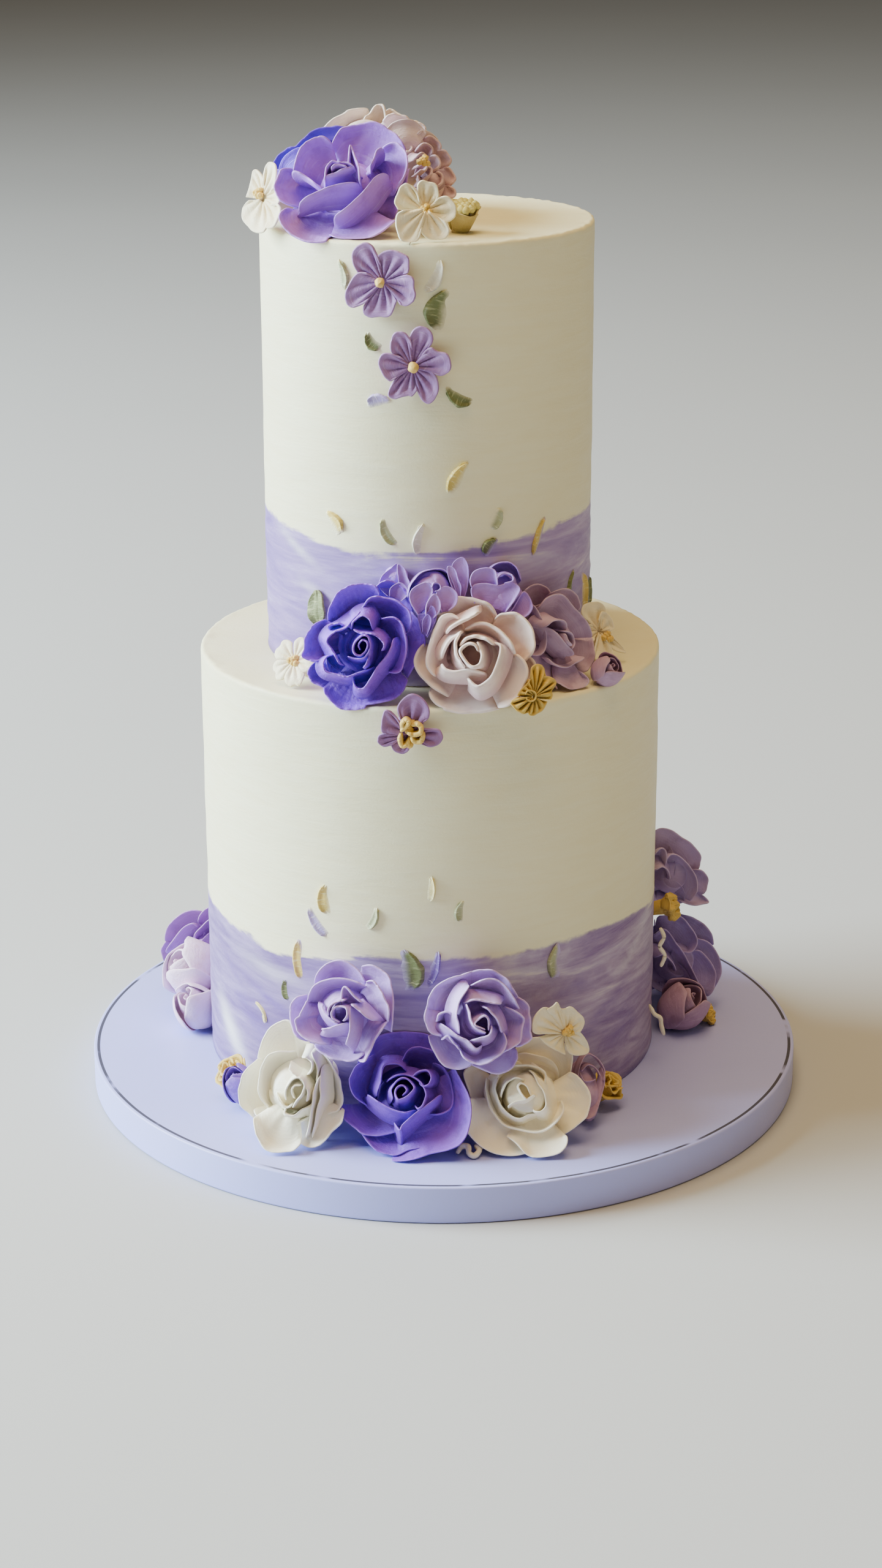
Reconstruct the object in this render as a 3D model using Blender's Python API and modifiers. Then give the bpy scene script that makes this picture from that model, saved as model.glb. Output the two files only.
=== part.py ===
"""A two-tier iced wedding cake on its round board, with piped icing flowers.

Metres, +Z up. The origin is the middle of the board's underside and the front
of the cake looks along -Y. An azimuth is in degrees from the front, positive
towards +X. A flower's centre is the middle of the ring of its outer petals.
"""
import math
import random

import bmesh
import bpy
from mathutils import Vector

MM = 0.001

BOARD_RADIUS = 127.0 * MM
BOARD_THICKNESS = 13.0 * MM
BOARD_EDGE = 0.8 * MM

LOWER_RADIUS = 80.0 * MM
LOWER_TOP = 161.5 * MM
LOWER_AXIS_X = -4.3 * MM

UPPER_RADIUS = 56.0 * MM
UPPER_TOP = 308.0 * MM
UPPER_AXIS_X = -4.8 * MM

TIER_EDGE = 1.6 * MM
GAP = 0.3 * MM
FLOOR_OF_LOWER = BOARD_THICKNESS + GAP
FLOOR_OF_UPPER = LOWER_TOP + GAP

TIER_STEPS = 48
BOARD_STEPS = 56
NEIGHBOUR_CLEARANCE = 0.55 * MM
PETAL_SPAN = 0.93
UNEVEN = 0.045

ICING = {
    "cream": (0.83, 0.79, 0.66),
    "ivory": (0.86, 0.82, 0.70),
    "lilac": (0.44, 0.36, 0.68),
    "violet": (0.14, 0.09, 0.56),
    "blush": (0.80, 0.70, 0.64),
    "mauve": (0.42, 0.32, 0.46),
    "pink": (0.66, 0.50, 0.56),
    "yellow": (0.76, 0.55, 0.17),
    "green": (0.20, 0.27, 0.13),
    "lime": (0.52, 0.50, 0.20),
    "board": (0.78, 0.77, 0.83),
}

# Open roses: icing, centre x, y, z and radius in millimetres, then the
# azimuth and elevation they face and the depth of icing behind the outer ring.
ROSES = {
    "rose_low_violet": ("violet", -13.1, -95.0, 30.5, 20.8, -4, 32, 20),
    "rose_low_lilac_left": ("lilac", -34.6, -93.2, 60.8, 16.6, -11, 22, 21),
    "rose_low_lilac_right": ("lilac", 11.3, -96.7, 58.6, 17.0, 5, 21, 21),
    "rose_low_white_left": ("ivory", -50.6, -90.5, 31.4, 19.2, -4, 18, 24),
    "rose_low_white_right": ("ivory", 27.4, -92.5, 30.0, 19.8, -4, 31, 22),
    "rose_mid_violet": ("violet", -25.9, -73.5, 180.7, 19.2, -4, 14, 21),
    "rose_mid_cream": ("blush", 10.4, -76.5, 179.0, 18.6, -5, 22, 22),
    "rose_mid_mauve": ("mauve", 39.4, -53.5, 177.3, 16.6, 36, 14, 15),
    "rose_top_lilac": ("lilac", -30.2, -34.0, 325.2, 21.0, -6, 34, 16),
    "rose_top_violet": ("violet", -40.5, -5.0, 323.6, 16.5, -62, 42, 17),
    "rose_top_blush": ("blush", -22.0, 12.0, 327.0, 19.5, 168, 50, 20),
    "rose_top_pink": ("pink", -13.0, -4.0, 332.0, 13.5, 25, 36, 28),
    "rose_left_lilac": ("lilac", -90.0, 38.0, 29.5, 15.5, -112, 25, 17),
    "rose_left_white": ("ivory", -67.5, 69.0, 28.6, 15.5, -137, 24, 16),
    "rose_right_mauve": ("mauve", 86.0, 27.0, 65.5, 14.8, 105, 15, 17),
    "rose_right_deep": ("mauve", 89.0, 24.0, 30.0, 16.5, 100, 20, 18),
    "rose_right_white": ("ivory", 64.0, 60.0, 28.6, 15.5, 136, 24, 16),
}

# Closed buds: icing, centre x, y, z, radius and half length, then the azimuth
# and elevation of the mouth.
BUDS = {
    "bud_mid_a": ("lilac", -3.0, -64.0, 197.0, 8.0, 8.5, 10, 30),
    "bud_mid_c": ("lilac", 18.4, -60.8, 195.5, 9.2, 8.5, 5, 50),
    "bud_mid_b": ("lilac", 5.4, -60.4, 201.0, 4.6, 7.5, 0, 70),
    "bud_mid_left": ("lilac", -15.6, -60.2, 200.8, 5.6, 6.0, -5, 50),
    "bud_mid_low": ("lilac", -4.9, -71.5, 189.5, 3.8, 7.5, -10, 65),
    "bud_mid_mauve": ("mauve", 54.5, -52.5, 166.0, 5.2, 5.0, 45, 40),
    "bud_low_left": ("lilac", -69.5, -65.5, 21.5, 5.8, 9.0, -40, 55),
    "bud_low_right": ("mauve", 48.6, -79.5, 25.4, 6.8, 14.0, 35, 50),
    "bud_left": ("pink", -90.5, 1.5, 22.0, 8.2, 9.0, -45, 50),
    "bud_left_pale": ("pink", -92.5, 16.0, 30.5, 10.5, 10.0, -70, 35),
    "bud_right": ("mauve", 87.3, -0.5, 22.3, 8.6, 10.0, 45, 50),
    "bud_top_lime": ("lime", 6.7, -33.5, 314.2, 4.8, 6.6, 25, 72),
}

# Open five-petal flowers: icing, centre x, y, z and radius, then the azimuth
# and elevation they face, the depth of icing behind and the first petal's turn.
BLOSSOMS = {
    "flower_side_upper": ("lilac", -19.2, -55.6, 296.0, 10.8, -14.6, 0, 3, 20),
    "flower_side_lower": ("lilac", -9.1, -57.6, 269.3, 10.8, -4.4, 0, 3, 90),
    "flower_mid_violet": ("lilac", -11.0, -81.6, 156.6, 10.6, -4.7, 2, 3, 85),
    "flower_low_white": ("ivory", 41.0, -80.5, 48.0, 9.4, 28, 12, 14, 70),
    "flower_top_white_left": ("ivory", -57.5, -23.0, 318.6, 10.6, -50, 24, 19, 60),
    "flower_top_white_right": ("ivory", -5.6, -44.0, 316.8, 9.8, 4, 14, 9, 90),
    "flower_top_pink": ("pink", -1.5, -14.0, 321.5, 11.5, 42, 22, 12, 50),
    "flower_mid_white_left": ("ivory", -49.0, -52.0, 169.4, 8.4, -34, 30, 9, 75),
    "flower_mid_white_right": ("ivory", 55.0, -28.0, 170.2, 9.4, 58, 30, 9, 60),
}

# Ruffled dabs: icing, centre x, y, z, radius and half length, then the azimuth
# and elevation they face and the length of the stalk behind.
RUFFLES = {
    "ruffle_mid_yellow": ("yellow", 28.8, -78.5, 168.8, 7.2, 4.5, 22, 22, 9),
    "ruffle_low_right": ("yellow", 56.0, -66.5, 21.0, 5.6, 4.0, 45, 45, 5),
    "ruffle_low_left": ("yellow", -73.5, -57.5, 22.5, 6.2, 4.0, -48, 45, 6),
    "ruffle_low_white": ("ivory", 7.9, -99.5, 16.6, 4.4, 3.0, 0, 45, 1),
    "ruffle_right_yellow": ("yellow", 82.0, 3.0, 60.0, 4.8, 3.5, 75, 15, 5),
    "ruffle_right_low": ("yellow", 96.5, 5.0, 16.6, 4.2, 3.0, 80, 30, 1),
}

# Loose leaves: icing, centre x, y, z, length, width, then the azimuth and
# elevation that the face looks at and the lean of the tip to the right.
LEAVES = {
    "leaf_mid_left": ("green", -41.4, -44.2, 185.5, 12.0, 8.0, -39.7, 0, -12),
}

# Dabs smeared on a wall: azimuth, height, length, width, lean to the right.
UPPER_DABS = [
    (5.9, 286.8, 14.0, 8.5, 14),
    (-17.4, 277.2, 7.0, 5.0, -45),
    (-29.8, 297.1, 10.0, 4.5, -8),
    (10.8, 260.0, 10.5, 6.0, -62),
    (1.4, 298.0, 12.0, 5.5, 28),
    (-16.2, 256.4, 8.5, 5.0, 75),
    (10.7, 232.0, 12.5, 5.0, 30),
    (-34.1, 215.1, 9.0, 5.0, -40),
    (-12.5, 214.5, 10.0, 5.0, -30),
    (-2.0, 212.0, 11.0, 4.5, 10),
    (23.0, 217.7, 7.5, 4.0, 25),
    (21.9, 208.0, 7.0, 4.5, 40),
    (41.3, 209.0, 14.0, 3.5, 22),
    (62.5, 187.0, 15.0, 5.0, 8),
]
LOWER_DABS = [
    (-25.5, 92.5, 11.0, 6.0, -5),
    (-28.1, 84.1, 12.0, 5.0, -40),
    (-14.6, 88.0, 9.0, 4.0, 25),
    (-0.4, 99.1, 9.0, 3.0, 5),
    (7.6, 90.8, 8.0, 4.0, 5),
    (-33.2, 68.5, 15.0, 5.5, -6),
    (-6.3, 69.8, 15.5, 9.0, -8),
    (0.0, 70.5, 13.5, 3.6, 18),
    (-37.4, 56.0, 8.0, 4.5, -10),
    (32.0, 68.2, 13.0, 5.0, 4),
    (-48.0, 43.2, 9.0, 5.0, -35),
]


def clear_scene():
    """Empties the scene that the script is run in."""
    for old in list(bpy.data.objects):
        bpy.data.objects.remove(old, do_unlink=True)


def new_collection(name):
    """A collection linked to the scene."""
    made = bpy.data.collections.new(name)
    bpy.context.scene.collection.children.link(made)
    return made


def icing_material(name, colour, roughness=0.55):
    """A plain finish in the part's own colour."""
    material = bpy.data.materials.new(name)
    material.use_nodes = True
    shader = material.node_tree.nodes["Principled BSDF"]
    shader.inputs["Base Color"].default_value = (*colour, 1.0)
    shader.inputs["Roughness"].default_value = roughness
    shader.inputs["Metallic"].default_value = 0.0
    return material


def object_from(name, shape, collection):
    """Turns a bmesh into an object with outward faces."""
    bmesh.ops.recalc_face_normals(shape, faces=shape.faces[:])
    mesh = bpy.data.meshes.new(name)
    shape.to_mesh(mesh)
    shape.free()
    made = bpy.data.objects.new(name, mesh)
    collection.objects.link(made)
    return made


def loft(shape, sections):
    """Closes a row of like-sized sections, such as a petal's, into one body."""
    rings = [[shape.verts.new(point) for point in section] for section in sections]
    count = len(rings[0])
    for first, second in zip(rings, rings[1:]):
        for index in range(count):
            after = (index + 1) % count
            shape.faces.new((first[index], first[after], second[after], second[index]))
    shape.faces.new(rings[0])
    shape.faces.new(rings[-1])


def apply_boolean(target, operation, operand):
    """Joins or cuts with one object or a whole collection, and applies it."""
    step = target.modifiers.new(operation.lower(), "BOOLEAN")
    step.operation = operation
    step.solver = "MANIFOLD"
    if isinstance(operand, bpy.types.Collection):
        step.operand_type = "COLLECTION"
        step.collection = operand
    else:
        step.object = operand
    bpy.context.view_layer.objects.active = target
    bpy.ops.object.modifier_apply(modifier=step.name)


def join_all(core, pieces):
    """One union of a core with the pieces of a collection, which are removed."""
    apply_boolean(core, "UNION", pieces)
    for piece in list(pieces.objects):
        bpy.data.objects.remove(piece, do_unlink=True)
    bpy.data.collections.remove(pieces)


def islands(shape):
    """The separate bodies of a bmesh, as sets of vertices."""
    waiting = set(shape.verts)
    found = []
    while waiting:
        stack = [waiting.pop()]
        body = set(stack)
        while stack:
            for edge in stack.pop().link_edges:
                for vertex in edge.verts:
                    if vertex in waiting:
                        waiting.discard(vertex)
                        body.add(vertex)
                        stack.append(vertex)
        found.append(body)
    return found


def keep_main_body(target):
    """Drops the scraps that a cut leaves loose."""
    shape = bmesh.new()
    shape.from_mesh(target.data)
    bodies = sorted(islands(shape), key=len)
    for scrap in bodies[:-1]:
        bmesh.ops.delete(shape, geom=list(scrap), context="VERTS")
    shape.to_mesh(target.data)
    shape.free()


def face_towards(made, x, y, z, azimuth, elevation):
    """Puts a flower at a point in millimetres, with its face turned outwards."""
    made.location = (x * MM, y * MM, z * MM)
    made.rotation_euler = (math.radians(90 - elevation), 0.0, math.radians(azimuth))


def ring(size, out, up, points, turn=0.0, petals=0, swing=0.0, dip=0.0, chance=None):
    """One closed ring of a flower, in its own frame.

    With petals, each starts inside the one before it by swing, as a wrapped
    petal does, and rounds off by dip towards its two ends.
    """
    outline = []
    for index in range(points):
        if petals:
            each = points // petals
            share = (index % each) / (each - 1)
            angle = 2 * math.pi * (index // each + PETAL_SPAN * share) / petals
            reach = out * (1 - swing * (1 - share)) * (1 - dip * (2 * share - 1) ** 2)
            reach *= 1 + UNEVEN * chance.uniform(-1, 1)
            rise = up + UNEVEN * out * chance.uniform(-1, 1)
        else:
            angle = 2 * math.pi * (index + 0.5) / points
            reach, rise = out, up
        outline.append((
            math.cos(angle + turn) * reach * size,
            math.sin(angle + turn) * reach * size,
            rise * size,
        ))
    return outline


def flower_body(name, cake, colour, rings, place):
    """Lofts a flower's rings from its back to its middle and puts it in place."""
    shape = bmesh.new()
    loft(shape, rings)
    bmesh.ops.triangulate(shape, faces=shape.faces[:])
    made = object_from(name, shape, cake)
    face_towards(made, *place)
    made.data.materials.append(icing_material(name, ICING[colour]))
    return made


def rose(name, cake, colour, x, y, z, radius, azimuth, elevation, depth):
    """An open piped rose: six outer, four middle and three inner petals."""
    chance = random.Random(name)
    size = radius * MM
    turn = chance.uniform(0, 2 * math.pi)
    points = 24
    rings = [
        ring(size, 0.44, -depth / radius, points, turn),
        ring(size, 0.52, -0.40, points, turn),
        ring(size, 1.03, 0.0, points, turn, 6, 0.07, 0.10, chance),
        ring(size, 0.50, -0.04, points, turn + 0.10),
        ring(size, 0.72, 0.30, points, turn + 0.25, 4, 0.20, 0.10, chance),
        ring(size, 0.30, 0.12, points, turn + 0.35),
        ring(size, 0.40, 0.52, points, turn + 0.50, 3, 0.28, 0.08, chance),
        ring(size, 0.10, 0.30, points, turn + 0.60),
    ]
    return flower_body(name, cake, colour, rings, (x, y, z, azimuth, elevation))


def bud(name, cake, colour, x, y, z, radius, half_length, azimuth, elevation):
    """A closed bud: three petals wrapped round each other."""
    chance = random.Random(name)
    size = radius * MM
    tall = half_length / radius
    turn = chance.uniform(0, 2 * math.pi)
    points = 12
    rings = [
        ring(size, 0.40, -tall, points, turn),
        ring(size, 0.86, -0.50 * tall, points, turn),
        ring(size, 1.0, 0.15 * tall, points, turn, 3, 0.12, 0.06, chance),
        ring(size, 0.58, tall, points, turn + 0.15, 3, 0.28, 0.10, chance),
        ring(size, 0.20, 0.62 * tall, points, turn + 0.25),
    ]
    return flower_body(name, cake, colour, rings, (x, y, z, azimuth, elevation))


def blossom(name, cake, colour, x, y, z, radius, azimuth, elevation, depth, turn):
    """A flat flower of five fanned petals round a small raised middle."""
    chance = random.Random(name)
    size = radius * MM
    first = math.radians(turn) - math.pi * PETAL_SPAN / 5
    points = 20
    rings = [
        ring(size, 0.36, -depth / radius, points, first),
        ring(size, 1.0, 0.05, points, first, 5, 0.0, 0.34, chance),
        ring(size, 0.55, 0.10, points, first, 5, 0.0, 0.20, chance),
        ring(size, 0.15, 0.16, points, first),
    ]
    return flower_body(name, cake, colour, rings, (x, y, z, azimuth, elevation))


def ruffle(name, cake, colour, x, y, z, radius, half_length, azimuth, elevation, stalk):
    """A dab from a star nozzle: a ribbed blob, pulled out and back in."""
    chance = random.Random(name)
    size = radius * MM
    tall = half_length / radius
    points, ribs = 14, 7
    rings = [
        ring(size, 0.50, -tall - stalk / radius, points),
        ring(size, 1.0, -0.1 * tall, points, 0.1, ribs, 0.28, 0.0, chance),
        ring(size, 0.72, 0.7 * tall, points, 0.3, ribs, 0.28, 0.0, chance),
        ring(size, 0.2, tall, points, 0.3),
    ]
    return flower_body(name, cake, colour, rings, (x, y, z, azimuth, elevation))


def leaf(name, cake, colour, x, y, z, length, width, azimuth, elevation, lean):
    """A thin wavy leaf, pointed at its tip and ribbed along its middle."""
    along, across = 5, 4
    shape = bmesh.new()
    bmesh.ops.create_grid(shape, x_segments=across, y_segments=along, size=0.5)
    for vertex in shape.verts:
        side, run = vertex.co.x * 2, vertex.co.y + 0.5
        spread = 0.12 + 0.88 * math.sin(math.pi * min(1.0, run * 0.92 + 0.06)) ** 0.8
        vertex.co = Vector((
            side * spread * width / 2,
            (run - 0.5) * length,
            0.9 * abs(side) * spread + 0.8 * math.sin(5 * run),
        )) * MM
    bmesh.ops.rotate(
        shape, verts=shape.verts[:],
        matrix=Vector((0, 0, 1)).to_track_quat("Z", "Y").to_matrix(),
    )
    bmesh.ops.triangulate(shape, faces=shape.faces[:])
    made = object_from(name, shape, cake)
    face_towards(made, x, y, z, azimuth, elevation)
    made.rotation_euler.rotate_axis("Z", math.radians(-lean))
    skin = made.modifiers.new("thickness", "SOLIDIFY")
    skin.thickness = 1.3 * MM
    skin.offset = 0.0
    bpy.context.view_layer.objects.active = made
    bpy.ops.object.modifier_apply(modifier=skin.name)
    made.data.materials.append(icing_material(name, ICING[colour]))
    return made


def turned(name, collection, profile, axis_x, steps):
    """A round solid turned from a profile that runs from the top to the bottom."""
    shape = bmesh.new()
    verts = [shape.verts.new((out, 0.0, up)) for out, up in profile]
    for first, second in zip(verts, verts[1:]):
        shape.edges.new((first, second))
    mesh = bpy.data.meshes.new(name)
    shape.to_mesh(mesh)
    shape.free()
    made = bpy.data.objects.new(name, mesh)
    collection.objects.link(made)
    made.location.x = axis_x
    screw = made.modifiers.new("turn", "SCREW")
    screw.steps = steps
    screw.render_steps = steps
    screw.use_smooth_shade = False
    screw.use_merge_vertices = True
    screw.merge_threshold = 0.0001
    bpy.context.view_layer.objects.active = made
    bpy.ops.object.modifier_apply(modifier=screw.name)
    return made


def wall_dabs(pieces, axis_x, radius, dabs):
    """Palette-knife dabs, half sunk in a tier's wall."""
    for azimuth, height, length, width, lean in dabs:
        shape = bmesh.new()
        bmesh.ops.create_uvsphere(shape, u_segments=6, v_segments=4, radius=0.5)
        bmesh.ops.scale(
            shape, verts=shape.verts[:], vec=(width * MM, 2.4 * MM, length * MM),
        )
        dab = object_from("dab", shape, pieces)
        turn = math.radians(azimuth)
        dab.location = (
            axis_x + math.sin(turn) * radius,
            -math.cos(turn) * radius,
            height * MM,
        )
        dab.rotation_euler = (0.0, math.radians(lean), turn)


def tier(name, cake, axis_x, radius, bottom, top, dabs):
    """A straight tier of iced cake with a sharp rim, and its wall's dabs."""
    profile = [
        (0.0, top),
        (radius - TIER_EDGE, top),
        (radius - 0.3 * TIER_EDGE, top - 0.3 * TIER_EDGE),
        (radius, top - TIER_EDGE),
        (radius, bottom),
        (0.0, bottom),
    ]
    made = turned(name, cake, profile, axis_x, TIER_STEPS)
    pieces = new_collection("dabs")
    wall_dabs(pieces, axis_x, radius, dabs)
    join_all(made, pieces)
    keep_main_body(made)
    made.data.materials.append(icing_material(name, ICING["cream"]))
    return made


def board(cake):
    """The drum board that the cake was built on."""
    profile = [
        (0.0, BOARD_THICKNESS),
        (BOARD_RADIUS - BOARD_EDGE, BOARD_THICKNESS),
        (BOARD_RADIUS, BOARD_THICKNESS - BOARD_EDGE),
        (BOARD_RADIUS, BOARD_EDGE),
        (BOARD_RADIUS - BOARD_EDGE, 0.0),
        (0.0, 0.0),
    ]
    made = turned("board", cake, profile, 0.0, BOARD_STEPS)
    made.data.materials.append(icing_material("board", ICING["board"], 0.35))
    return made


def clearance_solids(cutters):
    """The board and tiers, grown by the gap that flowers keep to them."""
    solids = []
    sizes = (
        ("clear_board", 0.0, BOARD_RADIUS, -BOARD_THICKNESS, FLOOR_OF_LOWER, BOARD_STEPS),
        ("clear_lower", LOWER_AXIS_X, LOWER_RADIUS + GAP, 0.0, LOWER_TOP + GAP, TIER_STEPS),
        ("clear_upper", UPPER_AXIS_X, UPPER_RADIUS + GAP, LOWER_TOP, UPPER_TOP + GAP, TIER_STEPS),
    )
    for name, axis_x, radius, low, high, steps in sizes:
        profile = [(0.0, high), (radius, high), (radius, low), (0.0, low)]
        solids.append(turned(name, cutters, profile, axis_x, steps))
    return solids


def world_box(made):
    """An object's lowest and highest corners."""
    points = [made.matrix_world @ vertex.co for vertex in made.data.vertices]
    low = Vector(min(point[axis] for point in points) for axis in range(3))
    high = Vector(max(point[axis] for point in points) for axis in range(3))
    return low, high


def boxes_meet(first, second):
    """Whether two boxes come within the clearance of each other."""
    for axis in range(3):
        if first[0][axis] > second[1][axis] + NEIGHBOUR_CLEARANCE:
            return False
        if second[0][axis] > first[1][axis] + NEIGHBOUR_CLEARANCE:
            return False
    return True


def grown_hull(made, cutters):
    """The convex skin of a flower, grown by the clearance to its neighbours."""
    shape = bmesh.new()
    for vertex in made.data.vertices:
        shape.verts.new(made.matrix_world @ vertex.co)
    hull = bmesh.ops.convex_hull(shape, input=shape.verts[:])
    spare = set(hull["geom_interior"] + hull["geom_unused"])
    loose = [item for item in spare if isinstance(item, bmesh.types.BMVert)]
    bmesh.ops.delete(shape, geom=loose, context="VERTS")
    bmesh.ops.recalc_face_normals(shape, faces=shape.faces[:])
    shape.normal_update()
    moves = [(vertex, vertex.normal.copy()) for vertex in shape.verts]
    for vertex, normal in moves:
        vertex.co += normal * NEIGHBOUR_CLEARANCE
    return object_from("hull_" + made.name, shape, cutters)


def fit_flowers(flowers, cutters):
    """Trims each flower to the cake and to the flowers placed before it."""
    bpy.context.view_layer.update()
    solids = clearance_solids(cutters)
    placed = []
    for flower in flowers:
        for solid in solids:
            apply_boolean(flower, "DIFFERENCE", solid)
        keep_main_body(flower)
        for other, hull in placed:
            if boxes_meet(world_box(flower), world_box(hull)):
                apply_boolean(flower, "DIFFERENCE", hull)
        keep_main_body(flower)
        bpy.context.view_layer.update()
        placed.append((flower, grown_hull(flower, cutters)))
    for solid in list(cutters.objects):
        bpy.data.objects.remove(solid, do_unlink=True)


def build():
    """Builds the cake from its board up."""
    clear_scene()
    cake = new_collection("wedding_cake")
    cutters = new_collection("cutters")
    board(cake)
    tier("tier_bottom", cake, LOWER_AXIS_X, LOWER_RADIUS, FLOOR_OF_LOWER, LOWER_TOP, LOWER_DABS)
    tier("tier_top", cake, UPPER_AXIS_X, UPPER_RADIUS, FLOOR_OF_UPPER, UPPER_TOP, UPPER_DABS)
    flowers = []
    for name, values in ROSES.items():
        flowers.append(rose(name, cake, *values))
    for name, values in BUDS.items():
        flowers.append(bud(name, cake, *values))
    for name, values in BLOSSOMS.items():
        flowers.append(blossom(name, cake, *values))
    for name, values in RUFFLES.items():
        flowers.append(ruffle(name, cake, *values))
    for name, values in LEAVES.items():
        flowers.append(leaf(name, cake, *values))
    fit_flowers(flowers, cutters)


build()
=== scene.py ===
import math
import random

import bpy
from mathutils import Euler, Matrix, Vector, noise


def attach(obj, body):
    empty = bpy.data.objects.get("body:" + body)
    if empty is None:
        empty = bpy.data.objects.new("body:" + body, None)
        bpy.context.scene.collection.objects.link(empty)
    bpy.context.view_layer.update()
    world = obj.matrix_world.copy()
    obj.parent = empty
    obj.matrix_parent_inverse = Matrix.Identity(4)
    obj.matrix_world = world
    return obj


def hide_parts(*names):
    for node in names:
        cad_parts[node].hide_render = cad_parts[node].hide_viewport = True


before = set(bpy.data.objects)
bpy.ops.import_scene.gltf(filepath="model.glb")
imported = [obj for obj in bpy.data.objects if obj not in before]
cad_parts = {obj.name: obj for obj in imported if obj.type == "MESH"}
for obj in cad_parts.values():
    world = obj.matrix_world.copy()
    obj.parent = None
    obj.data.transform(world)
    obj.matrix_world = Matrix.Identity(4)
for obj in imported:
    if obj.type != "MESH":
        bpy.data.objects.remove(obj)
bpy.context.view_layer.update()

MM = 0.001

# Board. A round drum board of stiff card under white satin foil, 254 mm across. The foil is
# folded over the edge and a smooth strip goes round the side, which leaves a thin seam on top.
BOARD_RADIUS = 127.0 * MM
BOARD_THICKNESS = 13.0 * MM
BOARD_EDGE = 0.8 * MM
SEAM_INSET = 1.7 * MM


def deselect():
    """Leaves nothing selected, so an operator acts only on what is picked next."""
    if bpy.context.object and bpy.context.object.mode != "OBJECT":
        bpy.ops.object.mode_set(mode="OBJECT")
    bpy.ops.object.select_all(action="DESELECT")


def pick(piece, kind, test):
    """Opens a piece in edit mode with the parts selected whose middle passes a test."""
    bpy.ops.object.mode_set(mode="EDIT")
    bpy.ops.mesh.select_mode(type=kind)
    bpy.ops.mesh.select_all(action="DESELECT")
    bpy.ops.object.mode_set(mode="OBJECT")
    mesh = piece.data
    items = mesh.edges if kind == "EDGE" else mesh.polygons
    for item in items:
        points = [mesh.vertices[index].co for index in item.vertices]
        item.select = bool(test(points))
    bpy.ops.object.mode_set(mode="EDIT")


def apply_modifiers(piece):
    """Applies a piece's modifiers in their order."""
    deselect()
    piece.select_set(True)
    bpy.context.view_layer.objects.active = piece
    for step in list(piece.modifiers):
        bpy.ops.object.modifier_apply(modifier=step.name)


def thicken(piece, thickness, offset=0.0):
    """Gives a sheet its thickness, less where it is weighted thin, and rounds it once."""
    step = piece.modifiers.new("thickness", "SOLIDIFY")
    step.thickness = thickness
    step.offset = offset
    if "thick" in piece.vertex_groups:
        step.vertex_group = "thick"
        step.thickness_vertex_group = 0.35
    step = piece.modifiers.new("soft", "SUBSURF")
    step.levels = step.render_levels = 1
    apply_modifiers(piece)


def hand_over(piece, material, slot, *nodes):
    """Gives a finished piece its material and its place on the cake, and hides the imported parts that it
    replaces.
    """
    piece.data.materials.clear()
    piece.data.materials.append(material)
    for face in piece.data.polygons:
        face.use_smooth = True
    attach(piece, "root")
    if nodes:
        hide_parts(*nodes)


def link(tree, start, start_socket, end, end_socket):
    """Joins two sockets of a node tree."""
    tree.links.new(start.outputs[start_socket], end.inputs[end_socket])


def noise_node(tree, source, scale, detail=3.0, roughness=0.5, distortion=0.0):
    """A noise texture that reads a vector output such as (node, socket)."""
    made = tree.nodes.new("ShaderNodeTexNoise")
    made.inputs["Scale"].default_value = scale
    made.inputs["Detail"].default_value = detail
    made.inputs["Roughness"].default_value = roughness
    made.inputs["Distortion"].default_value = distortion
    link(tree, source[0], source[1], made, "Vector")
    return made


def range_node(tree, source, low, high, to_low=0.0, to_high=1.0, smooth=True):
    """Turns a stretch of a value into another stretch, eased at both ends."""
    made = tree.nodes.new("ShaderNodeMapRange")
    made.interpolation_type = "SMOOTHSTEP" if smooth else "LINEAR"
    made.inputs["From Min"].default_value = low
    made.inputs["From Max"].default_value = high
    made.inputs["To Min"].default_value = to_low
    made.inputs["To Max"].default_value = to_high
    link(tree, source[0], source[1], made, "Value")
    return made


def mix_node(tree, factor, first, second, kind="MIX"):
    """Mixes two colours, each a plain colour or an output such as (node, socket)."""
    made = tree.nodes.new("ShaderNodeMix")
    made.data_type = "RGBA"
    made.blend_type = kind
    if isinstance(factor, float):
        made.inputs["Factor"].default_value = factor
    else:
        tree.links.new(factor[0].outputs[factor[1]], made.inputs["Factor"])
    for name, value in (("A", first), ("B", second)):
        socket = next(s for s in made.inputs if s.name == name and s.type == "RGBA")
        if isinstance(value[0], float):
            socket.default_value = (*value, 1.0)
        else:
            tree.links.new(value[0].outputs[value[1]], socket)
    return made


def mixed(node):
    """The colour output of a mix node, as (node, number)."""
    return node, next(i for i, s in enumerate(node.outputs) if s.type == "RGBA")


def sum_node(tree, kind, first, second):
    """One step of arithmetic on outputs or plain numbers."""
    made = tree.nodes.new("ShaderNodeMath")
    made.operation = kind
    for index, value in enumerate((first, second)):
        if isinstance(value, (int, float)):
            made.inputs[index].default_value = value
        else:
            tree.links.new(value[0].outputs[value[1]], made.inputs[index])
    return made


def new_material(name, roughness, specular=0.5):
    """A material with its Principled shader, and its object coordinates."""
    made = bpy.data.materials.new(name)
    made.use_nodes = True
    tree = made.node_tree
    shader = tree.nodes["Principled BSDF"]
    shader.inputs["Roughness"].default_value = roughness
    shader.inputs["Specular IOR Level"].default_value = specular
    place = tree.nodes.new("ShaderNodeTexCoord")
    return made, tree, shader, (place, "Object")


def bump_node(tree, height, depth, strength=1.0):
    """Relief of a given depth from an output that runs from 0 to 1."""
    made = tree.nodes.new("ShaderNodeBump")
    made.inputs["Distance"].default_value = depth
    made.inputs["Strength"].default_value = strength
    link(tree, height[0], height[1], made, "Height")
    return made


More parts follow.
